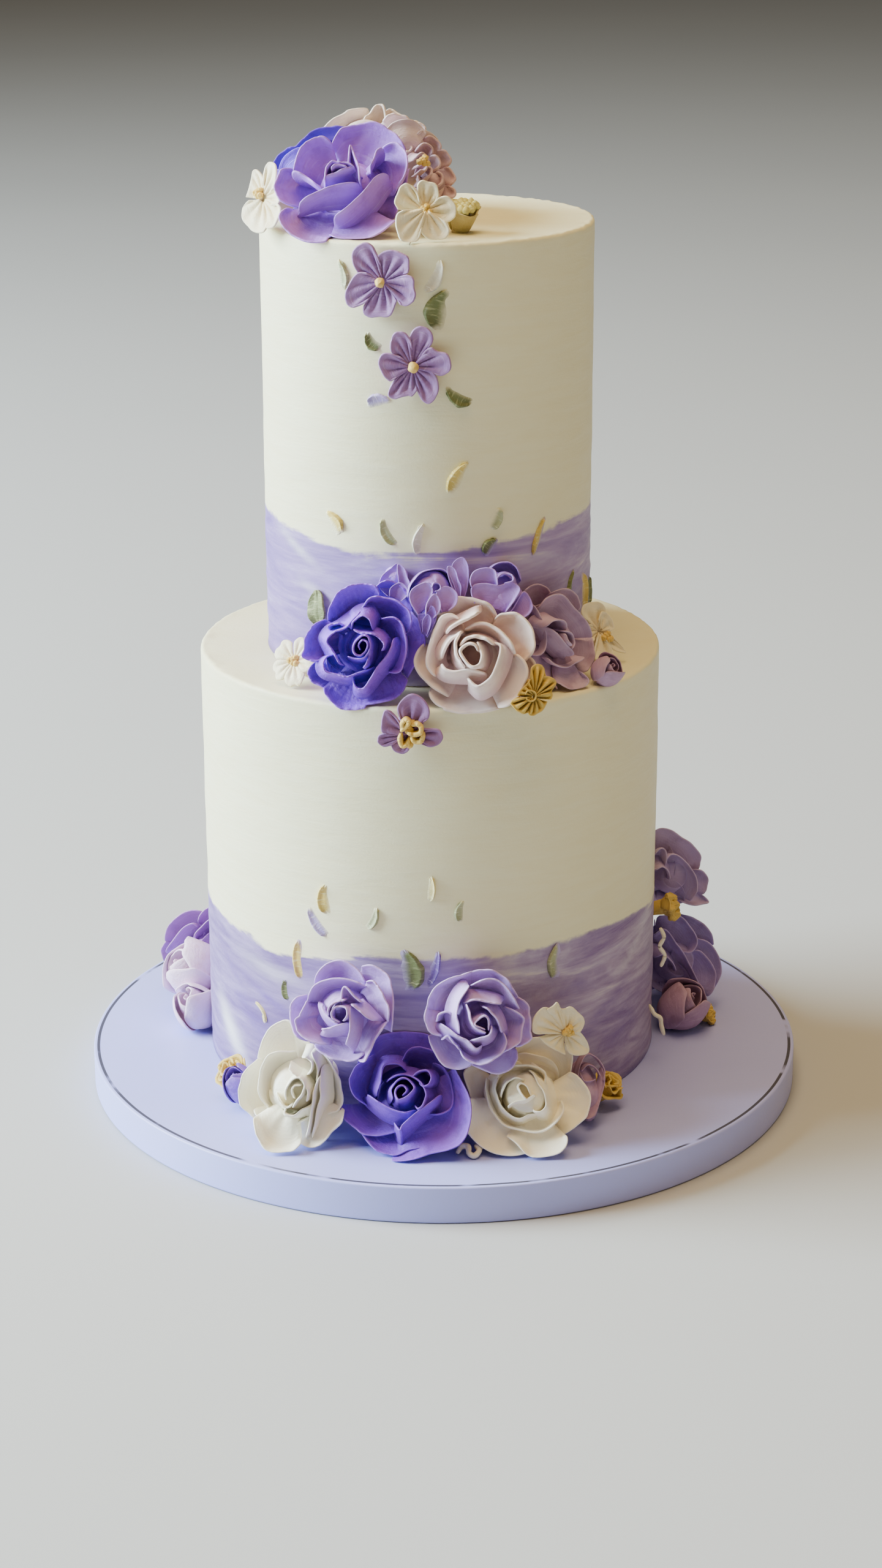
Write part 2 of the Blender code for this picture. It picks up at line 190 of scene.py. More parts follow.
def nudged(tree, value, texture, amount):
    """A value moved up and down by a texture, by half the amount each way."""
    middle = sum_node(tree, "SUBTRACT", texture, 0.5)
    return sum_node(tree, "ADD", value, (sum_node(tree, "MULTIPLY", (middle, 0), amount), 0))


def colour_to(tree, tone, shader):
    """Leads the colour of a mix node to the shader."""
    tree.links.new(tone.outputs[mixed(tone)[1]], shader.inputs["Base Color"])


deselect()
bpy.ops.mesh.primitive_cylinder_add(
    vertices=256, radius=BOARD_RADIUS, depth=BOARD_THICKNESS,
    location=(0.0, 0.0, BOARD_THICKNESS / 2),
)
board = bpy.context.object
board.name = "board_foil"
bpy.ops.object.transform_apply(location=True, rotation=True, scale=True)
pick(board, "EDGE", lambda points: abs(points[0].z - points[1].z) < 0.1 * MM)
bpy.ops.mesh.bevel(offset=BOARD_EDGE, segments=4, profile=0.6)
pick(board, "FACE", lambda points: len(points) > 4)
for width in (0.5, 12.0, 24.0, 24.0, 24.0, 24.0):
    bpy.ops.mesh.inset(thickness=width * MM)
deselect()
board.select_set(True)
FOIL_CREASE = 0.12 * MM
for vertex in board.data.vertices:
    if vertex.co.z > BOARD_THICKNESS - 1.0 * MM:
        vertex.co.z -= FOIL_CREASE * abs(noise.noise(vertex.co * 55.0))

foil, tree, shader, spot = new_material("board_foil", 0.36, 0.45)
grain = noise_node(tree, spot, 1500.0, 2.0)
cloud = noise_node(tree, spot, 30.0, 3.0)
# The foil itself is near white; the strong blue of these two colours is painted reflection of the cool
# window light.
tone = mix_node(tree, (cloud, "Fac"), (0.42, 0.45, 0.96), (0.46, 0.49, 0.99))
apart = tree.nodes.new("ShaderNodeSeparateXYZ")
link(tree, *spot, apart, "Vector")
flat = tree.nodes.new("ShaderNodeCombineXYZ")
link(tree, apart, "X", flat, "X")
link(tree, apart, "Y", flat, "Y")
length = tree.nodes.new("ShaderNodeVectorMath")
length.operation = "LENGTH"
link(tree, flat, "Vector", length, 0)
# The thin dark broken line round the top, just inside the rim, is painted shadow: it stands in for the
# shade in the gap at the foil's seam.
from_seam = sum_node(tree, "SUBTRACT", (length, "Value"), BOARD_RADIUS - SEAM_INSET)
near_rim = sum_node(tree, "ABSOLUTE", (from_seam, 0), 0.0)
seam_shadow = range_node(tree, (near_rim, 0), 0.45 * MM, 0.62 * MM, 1.0, 0.0)
on_top = range_node(tree, (apart, "Z"), BOARD_THICKNESS - 0.5 * MM, BOARD_THICKNESS - 0.2 * MM)
broken = range_node(tree, (noise_node(tree, spot, 60.0, 2.0), "Fac"), 0.30, 0.46)
shown = sum_node(tree, "MULTIPLY", (on_top, 0), (broken, 0))
seam_shadow = sum_node(tree, "MULTIPLY", (seam_shadow, 0), (shown, 0))
tone = mix_node(tree, (seam_shadow, 0), mixed(tone), (0.07, 0.07, 0.11))
colour_to(tree, tone, shader)
shine = range_node(tree, (grain, "Fac"), 0.3, 0.7, 0.30, 0.46)
link(tree, shine, 0, shader, "Roughness")
relief = bump_node(tree, (grain, "Fac"), 0.05 * MM, 0.5)
link(tree, relief, "Normal", shader, "Normal")
hand_over(board, foil, "board", "board")
deselect()
board.select_set(True)
bpy.context.view_layer.objects.active = board
bpy.ops.object.shade_smooth_by_angle(angle=math.radians(35))

# Bottom tier. A round sponge crumb-coated and iced with cream buttercream, smoothed with a
# scraper that leaves a sharp rim, with lilac and violet pulled round its foot by palette knife.
LOWER_AXIS_X = -4.3 * MM
LOWER_RADIUS = 80.0 * MM
LOWER_TOP = 161.5 * MM
LOWER_FLOOR = 13.3 * MM
TIER_EDGE = 1.6 * MM

# The band's upper edge: azimuth in degrees from the front and height in millimetres.
LOWER_BAND = (
    (-180, 71.0), (-110, 70.5), (-72, 72.4), (-53, 71.4), (-41, 67.2), (-28, 70.4), (-15, 73.8),
    (0, 74.2), (14, 74.2), (30, 75.1), (46, 73.9), (63, 72.8), (78, 69.5), (120, 71.5), (180, 71.0),
)
# Knife pulls of violet in the band: azimuth, height, reach round the wall and thickness, in
# millimetres, the rise of the pull in degrees, and how strong it is; a minus sign is white. The
# two broad ones at azimuths -2 and 24 darken the band behind the front roses: partly its own
# violet, partly painted shade.
LOWER_PULLS_AND_SHADE = (
    (-44, 50.0, 30, 3.2, -19, 1.0), (-51, 40.0, 24, 9.0, -30, 0.75), (-62, 56.0, 26, 3.0, -34, 0.5),
    (-62, 30.0, 18, 11.0, -35, -0.9), (-40, 60.0, 40, 5.0, -8, -0.35), (-30, 57.0, 26, 5.0, -8, 0.25),
    (-2, 52.0, 44, 24.0, 0, 0.30), (24, 50.0, 40, 22.0, 5, 0.30), (39, 57.0, 34, 1.8, 14, 0.45),
    (49, 45.0, 26, 4.5, 26, 0.70), (56, 34.0, 26, 6.0, 22, 0.50), (40, 36.0, 20, 8.0, 10, 0.35),
    (64, 62.0, 30, 4.0, 30, -0.3), (20, 66.0, 40, 4.0, 4, -0.3), (140, 50.0, 40, 5.0, 6, 0.5),
    (-150, 45.0, 40, 4.0, -6, 0.5), (100, 58.0, 30, 4.0, 8, 0.4), (-110, 55.0, 30, 5.0, -8, 0.5),
)


def band_height(table, azimuth):
    """The height of a band's edge at an azimuth, read between the listed ones."""
    for (start, low), (end, high) in zip(table, table[1:]):
        if start <= azimuth <= end:
            share = (azimuth - start) / (end - start)
            return (low + (high - low) * share * share * (3 - 2 * share)) * MM
    return table[0][1] * MM


def iced_tier(name, axis_x, radius, floor, top, band, pulls, seed):
    """A scraped tier with a sharp rim; its wall is a little uneven, more so in the band."""
    deselect()
    bpy.ops.mesh.primitive_cylinder_add(
        vertices=224, radius=radius, depth=top - floor,
        location=(axis_x, 0.0, (top + floor) / 2),
    )
    made = bpy.context.object
    made.name = name
    bpy.ops.object.transform_apply(location=True, rotation=True, scale=True)
    pick(made, "EDGE", lambda points: abs(points[0].z - points[1].z) > TIER_EDGE)
    bpy.ops.mesh.subdivide(number_cuts=63)
    pick(made, "EDGE", lambda points: min(p.z for p in points) > top - 0.1 * MM)
    bpy.ops.mesh.bevel(offset=0.8 * TIER_EDGE, segments=4, profile=0.5)
    pick(made, "FACE", lambda points: len(points) > 4 and points[0].z > floor + MM)
    for width in (0.6, 1.2, 3.0, 6.0, 8.0, 8.0, 8.0, 8.0):
        bpy.ops.mesh.inset(thickness=width * MM)
    deselect()
    height = made.data.attributes.new("over_band", "FLOAT", "POINT")
    pulled_and_shade = made.data.attributes.new("pulled_and_shade", "FLOAT", "POINT")
    shift = Vector((0.0, 0.0, seed))
    for vertex in made.data.vertices:
        spot = vertex.co
        out = Vector((spot.x - axis_x, spot.y, 0.0))
        azimuth = math.degrees(math.atan2(out.x, -out.y))
        over = spot.z - band_height(band, azimuth)
        height.data[vertex.index].value = over
        # The bottom tier's table also holds broad patches of painted shade behind the front roses.
        paint = 0.0
        for at, up, reach, thick, rise, strong in pulls:
            turn = (azimuth - at + 180) % 360 - 180
            along = math.radians(turn) * radius / MM
            across = spot.z / MM - up - along * math.tan(math.radians(rise))
            paint += strong * math.exp(-(along / reach * 2) ** 2 - (across / thick * 2) ** 2)
        pulled_and_shade.data[vertex.index].value = max(-1.0, min(1.0, paint))
        wide = noise.noise(spot * 26.0 + shift) * 0.35
        scraped = noise.noise(Vector((spot.x * 22, spot.y * 22, spot.z * 120)) + shift) * 0.16
        knife = noise.noise(Vector((spot.x * 60, spot.y * 60, spot.z * 320)) + shift) * 0.30
        in_band = min(1.0, max(0.0, 0.5 - over / (4 * MM)))
        lift = (wide + scraped + knife * in_band) * MM
        if out.length > radius - 2.5 * MM and floor + MM < spot.z:
            vertex.co += out.normalized() * (lift - 0.15 * MM)
            if spot.z > top - 2.5 * MM:
                ragged = noise.noise(spot * 420.0 + shift) + 0.5 * noise.noise(spot * 900.0)
                vertex.co.z += (0.34 * ragged - 0.1) * MM
        elif spot.z > top - MM:
            vertex.co.z += 0.4 * lift - 0.15 * MM
    return made


def iced_wall(name, streaks, shift):
    """Cream buttercream with a watercolour band, its edge set by the wall's own height."""
    made, tree, shader, spot = new_material(name, 0.5, 0.35)
    stretched = tree.nodes.new("ShaderNodeMapping")
    stretched.inputs["Scale"].default_value = (16.0, 16.0, 105.0)
    stretched.inputs["Location"].default_value = (shift, 0.0, 0.0)
    stretched.inputs["Rotation"].default_value = (0.10, 0.06, 0.0)
    link(tree, *spot, stretched, "Vector")
    pulls = noise_node(tree, (stretched, "Vector"), 1.0, 5.0, 0.62, 0.9)
    fine = noise_node(tree, (stretched, "Vector"), 3.6, 4.0, 0.6, 0.4)
    wash = tree.nodes.new("ShaderNodeValToRGB")
    while len(wash.color_ramp.elements) > 1:
        wash.color_ramp.elements.remove(wash.color_ramp.elements[0])
    for index, (share, colour) in enumerate(streaks):
        stop = wash.color_ramp.elements[0] if index == 0 else wash.color_ramp.elements.new(share)
        stop.position = share
        stop.color = (*colour, 1.0)
    both = nudged(tree, (pulls, "Fac"), (fine, "Fac"), 0.45)
    tree.links.new(both.outputs[0], wash.inputs["Fac"])
    apart = tree.nodes.new("ShaderNodeSeparateXYZ")
    link(tree, *spot, apart, "Vector")
    # The band's colour is made darker towards the left side of the cake.
    strong = range_node(tree, (apart, "X"), -0.075, 0.030, 1.0, 0.0)
    wash_darkened = mix_node(tree, 1.0, (wash, "Color"), (0.66, 0.58, 0.82), "MULTIPLY")
    wash_darker_left = mix_node(tree, (strong, 0), (wash, "Color"), mixed(wash_darkened))
    violet = tree.nodes.new("ShaderNodeAttribute")
    violet.attribute_name = "pulled_and_shade"
    torn = range_node(tree, (fine, "Fac"), 0.34, 0.62, 0.25, 1.0)
    # This mask holds the violet knife pulls and also the painted shade behind the front roses.
    violet_and_shade_mask = sum_node(tree, "MULTIPLY", (violet, "Fac"), (torn, 0))
    violet_and_shade_mask = range_node(tree, (violet_and_shade_mask, 0), 0.0, 1.0, 0.0, 1.0, False)
    washed = mix_node(tree, (violet_and_shade_mask, 0), mixed(wash_darker_left), (0.15, 0.08, 0.34))
    pale_mask = sum_node(tree, "MULTIPLY", (violet, "Fac"), -1.0)
    pale_mask = range_node(tree, (pale_mask, 0), 0.0, 1.0, 0.0, 1.0, False)
    washed = mix_node(tree, (pale_mask, 0), mixed(washed), (0.80, 0.79, 0.82))
    cloud = noise_node(tree, spot, 34.0, 3.0)
    cream = mix_node(tree, (cloud, "Fac"), (0.85, 0.80, 0.51), (0.88, 0.84, 0.56))
    scraped = range_node(tree, (fine, "Fac"), 0.30, 0.72)
    cream = mix_node(tree, (scraped, 0), mixed(cream), (0.88, 0.85, 0.58))
    height = tree.nodes.new("ShaderNodeAttribute")
    height.attribute_name = "over_band"
    frayed = noise_node(tree, spot, 210.0, 4.0, 0.6)
    edge = nudged(tree, (height, "Fac"), (frayed, "Fac"), 2.4 * MM)
    edge = nudged(tree, (edge, 0), (pulls, "Fac"), 9.0 * MM)
    inside = range_node(tree, (edge, 0), -1.0 * MM, 0.9 * MM, 1.0, 0.0)
    skin = mix_node(tree, (inside, 0), mixed(cream), mixed(washed))
    colour_to(tree, skin, shader)
    pits = noise_node(tree, spot, 1300.0, 3.0, 0.6)
    shine = range_node(tree, (pits, "Fac"), 0.3, 0.7, 0.42, 0.60)
    link(tree, shine, 0, shader, "Roughness")
    relief = bump_node(tree, (pits, "Fac"), 0.10 * MM, 0.5)
    drawn = bump_node(tree, (fine, "Fac"), 0.35 * MM, 0.55)
    link(tree, relief, "Normal", drawn, "Normal")
    link(tree, drawn, "Normal", shader, "Normal")
    return made


tier_bottom = iced_tier("tier_bottom_icing", LOWER_AXIS_X, LOWER_RADIUS, LOWER_FLOOR, LOWER_TOP,
                        LOWER_BAND, LOWER_PULLS_AND_SHADE, 3.7)
hand_over(tier_bottom, iced_wall("tier_bottom_icing", (
    (0.30, (0.21, 0.13, 0.33)), (0.42, (0.29, 0.21, 0.40)), (0.52, (0.37, 0.29, 0.47)),
    (0.62, (0.46, 0.38, 0.55)), (0.76, (0.66, 0.60, 0.62)),
), 0.0), "cream", "tier_bottom")

# Top tier. The same cream buttercream on a smaller sponge, set straight on the bottom tier's
# iced top. Its band is paler, with white pulled through the lilac and violet left in the low places.
UPPER_AXIS_X = -4.8 * MM
UPPER_RADIUS = 56.0 * MM
UPPER_TOP = 308.0 * MM
UPPER_FLOOR = 161.8 * MM
UPPER_BAND = (
    (-180, 211.0), (-110, 211.5), (-70, 211.3), (-53, 210.7), (-40, 207.7), (-25, 205.6),
    (-10, 206.7), (4, 206.9), (21, 208.9), (41, 210.4), (58, 212.5), (75, 213.3), (120, 210.0),
    (180, 211.0),
)
UPPER_PULLS = (
    (-60, 196.0, 18, 4.0, -12, 0.35), (-48, 186.0, 16, 5.0, 8, 0.4), (50, 200.0, 18, 4.0, 10, 0.5),
    (64, 190.0, 16, 5.0, -10, 0.45), (30, 196.0, 14, 3.0, 6, 0.35), (-30, 199.0, 14, 2.6, -8, 0.3),
    (150, 195.0, 30, 5.0, 6, 0.45), (-130, 190.0, 30, 4.0, -6, 0.45), (70, 229.0, 22, 3.0, 12, 0.14),
    (-52, 204.0, 20, 3.0, -24, -0.5), (-42, 190.0, 26, 4.0, -20, -0.4), (10, 192.0, 60, 22.0, 0, 0.25),
)
tier_top = iced_tier("tier_top_icing", UPPER_AXIS_X, UPPER_RADIUS, UPPER_FLOOR, UPPER_TOP,
                     UPPER_BAND, UPPER_PULLS, 11.2)
hand_over(tier_top, iced_wall("tier_top_icing", (
    (0.28, (0.26, 0.17, 0.42)), (0.42, (0.33, 0.24, 0.49)), (0.54, (0.41, 0.31, 0.55)),
    (0.64, (0.51, 0.42, 0.63)), (0.76, (0.72, 0.66, 0.68)),
), 2.6), "cream", "tier_top")

# Strokes on the walls. Small petals and leaves of coloured buttercream, each pressed on with one
# touch of a palette knife, so one side is a raised ridged lip and the other runs into the wall.
STROKE_THICKNESS = 0.9 * MM
BARE_WALL = (0.86, 0.82, 0.56)
WASHED_WALL = (0.46, 0.38, 0.64)
GREEN = ((0.17, 0.20, 0.075), (0.42, 0.44, 0.22))
PALE_GREEN = ((0.42, 0.45, 0.26), (0.66, 0.66, 0.46))
YELLOW = ((0.76, 0.58, 0.15), (0.90, 0.82, 0.42))
PALE_YELLOW = ((0.82, 0.72, 0.34), (0.90, 0.86, 0.56))
WHITE = ((0.80, 0.76, 0.62), (0.92, 0.90, 0.80))
LILAC = ((0.46, 0.37, 0.70), (0.76, 0.71, 0.86))
VIOLET = ((0.20, 0.12, 0.42), (0.52, 0.44, 0.78))
# name, icing slot, colours, azimuth, height, length, width, lean to the right, ridges
UPPER_STROKES = (
    ("leaf_a", "green", GREEN, 5.9, 286.8, 14.0, 8.5, 14, 5),
    ("leaf_b", "green", GREEN, -17.4, 277.2, 7.0, 5.0, -45, 4),
    ("leaf_c", "green", PALE_GREEN, -29.8, 297.1, 10.0, 4.5, -8, 3),
    ("leaf_d", "green", GREEN, 10.8, 260.0, 10.5, 6.0, -62, 4),
    ("petal_a", "ivory", WHITE, 1.4, 298.0, 12.0, 5.5, 28, 3),
    ("petal_b", "lilac", LILAC, -16.2, 256.4, 8.5, 5.0, 75, 3),
    ("curl_a", "yellow", YELLOW, 10.7, 232.0, 12.5, 5.0, 30, 4),
    ("curl_b", "yellow", YELLOW, -34.1, 215.1, 9.0, 5.0, -40, 3),
    ("smear_a", "green", PALE_GREEN, -12.5, 214.5, 10.0, 5.0, -30, 4),
    ("smear_b", "ivory", WHITE, -2.0, 212.0, 11.0, 4.5, 10, 4),
    ("smear_c", "green", PALE_GREEN, 23.0, 217.7, 7.5, 4.0, 25, 3),
    ("leaf_e", "green", GREEN, 21.9, 208.0, 7.0, 4.5, 40, 3),
    ("smear_d", "yellow", YELLOW, 41.3, 209.0, 14.0, 3.5, 22, 3),
    ("leaf_f", "green", GREEN, 60.5, 187.0, 15.0, 6.5, 8, 5),
    ("petal_e", "yellow", YELLOW, 69.0, 184.0, 14.0, 6.5, -4, 3),
    ("leaf_i", "green", GREEN, 77.0, 182.0, 12.0, 5.0, -10, 3),
)
LOWER_STROKES = (
    ("curl_c", "yellow", YELLOW, -25.5, 92.5, 11.0, 6.0, -5, 4),
    ("petal_c", "lilac", LILAC, -28.1, 84.1, 12.0, 5.0, -40, 3),
    ("smear_e", "green", PALE_GREEN, -14.6, 88.0, 9.0, 4.0, 25, 3),
    ("smear_f", "yellow", PALE_YELLOW, -0.4, 99.1, 9.0, 3.0, 5, 2),
    ("smear_g", "green", PALE_GREEN, 7.6, 90.8, 8.0, 4.0, 5, 3),
    ("curl_d", "yellow", YELLOW, -33.2, 68.5, 15.0, 5.5, -6, 4),
    ("leaf_g", "green", GREEN, -6.3, 69.8, 15.5, 9.0, -8, 5),
    ("petal_d", "violet", VIOLET, 0.0, 70.5, 13.5, 3.6, 18, 2),
    ("leaf_h", "green", GREEN, -37.4, 56.0, 8.0, 4.5, -10, 3),
    ("smear_h", "green", PALE_GREEN, 32.0, 68.2, 13.0, 5.0, 4, 4),
    ("smear_i", "yellow", PALE_YELLOW, -48.0, 43.2, 9.0, 5.0, -35, 3),
)


def buttercream_group():
    """Node group: two-tone buttercream, pale along the rim of a petal and streaked where the
    two colours in the bag met, with painted shade that darkens it towards a petal's root and
    random darker patches. It reads the petal's own map, along and across the ribbon."""
    group = bpy.data.node_groups.new("buttercream", "ShaderNodeTree")
    face = group.interface
    for name, kind in (("Body", "NodeSocketColor"), ("Rim", "NodeSocketColor"),
                       ("Deep", "NodeSocketColor"), ("Rim start", "NodeSocketFloat"),
                       ("Streaks", "NodeSocketFloat"), ("Crumb", "NodeSocketFloat")):
        face.new_socket(name, in_out="INPUT", socket_type=kind)
    for name, kind in (("Color", "NodeSocketColor"), ("Roughness", "NodeSocketFloat"),
                       ("Normal", "NodeSocketVector")):
        face.new_socket(name, in_out="OUTPUT", socket_type=kind)
    given = group.nodes.new("NodeGroupInput")
    result = group.nodes.new("NodeGroupOutput")
    place = group.nodes.new("ShaderNodeTexCoord")
    spot = (place, "Object")
    ribbon = group.nodes.new("ShaderNodeSeparateXYZ")
    link(group, place, "UV", ribbon, "Vector")
    along = group.nodes.new("ShaderNodeMapping")
    along.inputs["Scale"].default_value = (2.2, 17.0, 1.0)
    link(group, place, "UV", along, "Vector")
    drawn = noise_node(group, (along, "Vector"), 1.0, 4.0, 0.6, 0.5)
    cloud = noise_node(group, spot, 150.0, 3.0, 0.55)
    crumbs = noise_node(group, spot, 900.0, 3.0, 0.6)
    tooth = noise_node(group, spot, 620.0, 2.0, 0.6)
    frayed = nudged(group, (ribbon, "Y"), (tooth, "Fac"), 0.12)
    start = sum_node(group, "SUBTRACT", (frayed, 0), (given, "Rim start"))
    rim = range_node(group, (start, 0), -0.10, 0.10, 0.0, 0.18)
    # Painted shade: the colour darkens towards the petal's root, deep inside the flower.
    low = range_node(group, (ribbon, "Y"), 0.05, 0.62, 1.0, 0.0)
    low = sum_node(group, "MULTIPLY", (low, 0), 0.75)
    tone = mix_node(group, (low, 0), (given, "Body"), (given, "Deep"))
    pale = range_node(group, (drawn, "Fac"), 0.50, 0.70)
    pale = sum_node(group, "MULTIPLY", (pale, 0), (given, "Streaks"))
    tone = mix_node(group, (pale, 0), mixed(tone), (given, "Rim"))
    dark = range_node(group, (cloud, "Fac"), 0.30, 0.50, 0.45, 0.0)
    tone = mix_node(group, (dark, 0), mixed(tone), (given, "Deep"))
    tone = mix_node(group, (rim, 0), mixed(tone), (given, "Rim"))
    group.links.new(tone.outputs[mixed(tone)[1]], result.inputs["Color"])
    shine = range_node(group, (crumbs, "Fac"), 0.3, 0.7, 0.42, 0.66)
    link(group, shine, 0, result, "Roughness")
    rough = sum_node(group, "MULTIPLY", (crumbs, "Fac"), (given, "Crumb"))
    relief = bump_node(group, (rough, 0), 0.45 * MM, 0.7)
    ridges = bump_node(group, (drawn, "Fac"), 0.5 * MM, 0.45)
    link(group, relief, "Normal", ridges, "Normal")
    link(group, ridges, "Normal", result, "Normal")
    return group


buttercream = buttercream_group()


def piped_icing(name, body, rim, deep=None, start=0.93, streaks=0.35, crumb=0.6, wall=None):
    """A material of two-tone buttercream in one flower's own colours, worn down to the wall's
    own colour where the piece says that it is thin."""
    made, tree, shader, spot = new_material(name, 0.52, 0.38)
    mixer = tree.nodes.new("ShaderNodeGroup")
    mixer.node_tree = buttercream
    # deep is the darker colour used for the painted shade towards each petal's root, and for random
    # darker patches.
    deep = deep or tuple(0.62 * value for value in body)
    for socket, colour in (("Body", body), ("Rim", rim), ("Deep", deep)):
        mixer.inputs[socket].default_value = (*colour, 1.0)
    mixer.inputs["Rim start"].default_value = start
    mixer.inputs["Streaks"].default_value = streaks
    mixer.inputs["Crumb"].default_value = crumb
    for output, socket in (("Color", "Base Color"), ("Roughness", "Roughness"), ("Normal", "Normal")):
        link(tree, mixer, output, shader, socket)
    if wall:
        thin = tree.nodes.new("ShaderNodeAttribute")
        thin.attribute_name = "worn"
        torn = noise_node(tree, spot, 360.0, 3.0, 0.6)
        torn = sum_node(tree, "MULTIPLY", (torn, "Fac"), 0.3)
        bare = range_node(tree, (sum_node(tree, "ADD", (thin, "Fac"), (torn, 0)), 0), 0.50, 1.15)
        tone = mix_node(tree, (bare, 0), (mixer, "Color"), wall)
        colour_to(tree, tone, shader)
    return made


def knife_stroke(name, azimuth, height, length, width, lean, ridges, axis_x, radius):
    """One thin dab, curved to its wall: a thick lip along one side, the other drawn under."""
    deselect()
    bpy.ops.mesh.primitive_grid_add(x_subdivisions=20, y_subdivisions=25, size=2.0)
    made = bpy.context.object
    made.name = name
    chance = random.Random(name)
    lip = chance.choice((-1, 1))
    bow = lip * chance.uniform(0.08, 0.20)
    turn, tilt = math.radians(azimuth), math.radians(lean)
    seed = Vector((azimuth, height, 0.0))
    worn = made.data.attributes.new("worn", "FLOAT", "POINT")
    for vertex in made.data.vertices:
        side, run = vertex.co.x, vertex.co.y
        share = (run + 1) / 2
        spread = 1.25 * math.sin(math.pi * min(1.0, 0.08 + 0.90 * share ** 0.8)) ** 0.7
        ragged = noise.noise(Vector((share * 5, side * 2, 0.0)) + seed)
        spread *= 1 + 0.12 * ragged
        x = side * spread * width / 2 + bow * width * (1 - run * run)
        y = run * length / 2 * (1 + 0.10 * noise.noise(Vector((side * 4, 0.0, 1.0)) + seed))
        full = (side * lip + 1) / 2
        full = full * full * (3 - 2 * full)
        thick = -0.24 + 0.58 * full + 0.40 * math.exp(-((side * lip - 0.74) / 0.24) ** 2)
        thick += 0.05 * math.cos(ridges * 2.2 * side + 2 * share) * full
        thick += 0.22 * max(0.0, share - 0.75) * 4 * (1 - abs(side))
        thick += 0.12 * noise.noise(Vector((side * 3, share * 4, 2.0)) + seed) * full
        edge = min(1.0, 5 * (1 - abs(side)), 4 * (1 - abs(run)))
        out = thick * edge - 0.25 * (1 - edge) ** 2
        worn.data[vertex.index].value = 1 - full * min(1.0, 3.0 * (1 - abs(run)))
        round_x = x * math.cos(tilt) + y * math.sin(tilt)
        up = y * math.cos(tilt) - x * math.sin(tilt)
        angle = turn + round_x * MM / radius
        reach = radius + out * 1.5 * MM
        vertex.co = (axis_x + math.sin(angle) * reach, -math.cos(angle) * reach, (height + up) * MM)
    thicken(made, STROKE_THICKNESS, -1.0)
    return made


for strokes, axis_x, radius, band in (
    (UPPER_STROKES, UPPER_AXIS_X, UPPER_RADIUS, UPPER_BAND),
    (LOWER_STROKES, LOWER_AXIS_X, LOWER_RADIUS, LOWER_BAND),
):
    for name, slot, (body, rim), *shape in strokes:
        stroke = knife_stroke("stroke_" + name, *shape, axis_x, radius)
        azimuth, height = shape[:2]
        wall = BARE_WALL if height > band_height(band, azimuth) / MM else WASHED_WALL
        hand_over(stroke, piped_icing("stroke_" + name, body, rim, start=1.2, streaks=0.9,
                                      crumb=0.35, wall=wall), slot)

# Roses at the foot of the front. Each is piped on a nail with a petal nozzle and lifted on with
# scissors: a spiral heart, then rows of ribbon petals that each start inside the one before.
# name: slot, x, y, z, radius (mm), azimuth and elevation that it faces, depth of the stub (mm)
LOW_ROSES = {
    "rose_low_violet": ("violet", -13.1, -95.0, 30.5, 20.8, -4, 32, 20),
    "rose_low_lilac_left": ("lilac", -34.6, -93.2, 60.8, 16.6, -11, 22, 21),
    "rose_low_lilac_right": ("lilac", 11.3, -96.7, 58.6, 17.0, 5, 21, 21),
    "rose_low_white_left": ("ivory", -50.6, -90.5, 31.4, 19.2, -4, 18, 24),
    "rose_low_white_right": ("ivory", 27.4, -92.5, 30.0, 19.8, -4, 31, 22),
}
# A row of petals: how many, half the angle of one, how far one end swings in and the other out,
# how much the rim falls to its ends, how much it waves, how straight it runs, how far it curls
# over, and the ribbon's profile from root to rim as (out, up) points. Lengths are shares of the
# rose's radius and angles are in radians.
OUTER_ROW = (5, 0.70, 0.03, 0.44, 0.012, 0.0, 0.07,
             ((0.36, -0.46), (0.80, -0.52), (0.92, -0.12), (1.06, 0.02)))
SECOND_ROW = (5, 0.68, 0.05, 0.36, 0.015, 0.0, 0.05,
              ((0.30, -0.30), (0.66, -0.30), (0.70, 0.00), (0.80, 0.19)))
MIDDLE_ROW = (4, 0.80, 0.11, 0.20, 0.025, 0.75, 0.05,
              ((0.20, -0.16), (0.44, -0.10), (0.46, 0.20), (0.55, 0.38)))
INNER_ROW = (3, 0.98, 0.08, 0.16, 0.02, 0.6, 0.02,
             ((0.10, 0.00), (0.26, 0.05), (0.26, 0.34), (0.29, 0.47)))
ROSE_ROWS = (OUTER_ROW, SECOND_ROW, MIDDLE_ROW, INNER_ROW)
ROSE_CELLS = (16, 6)
ROSE_TEETH = 0.012
ROSE_SKIN = 0.055
ROSE_RIM = 0.30


def along_curve(points, share):
    """A point on the smooth curve that four control points pull."""
    left = 1 - share
    weights = (left ** 3, 3 * left * left * share, 3 * left * share * share, share ** 3)
    return (sum(w * p[0] for w, p in zip(weights, points)),
            sum(w * p[1] for w, p in zip(weights, points)))


def thin_to_rim(piece, rim_share):
    """Weights a ribbon so that it is thick at its root and thin at its rim."""
    group = piece.vertex_groups.new(name="thick")
    rows = {}
    for vertex in piece.data.vertices:
        rows.setdefault(round((vertex.co.y + 1) / 2, 3), []).append(vertex.index)
    for share, indices in rows.items():
        group.add(indices, 1 - (1 - rim_share) * share, "REPLACE")


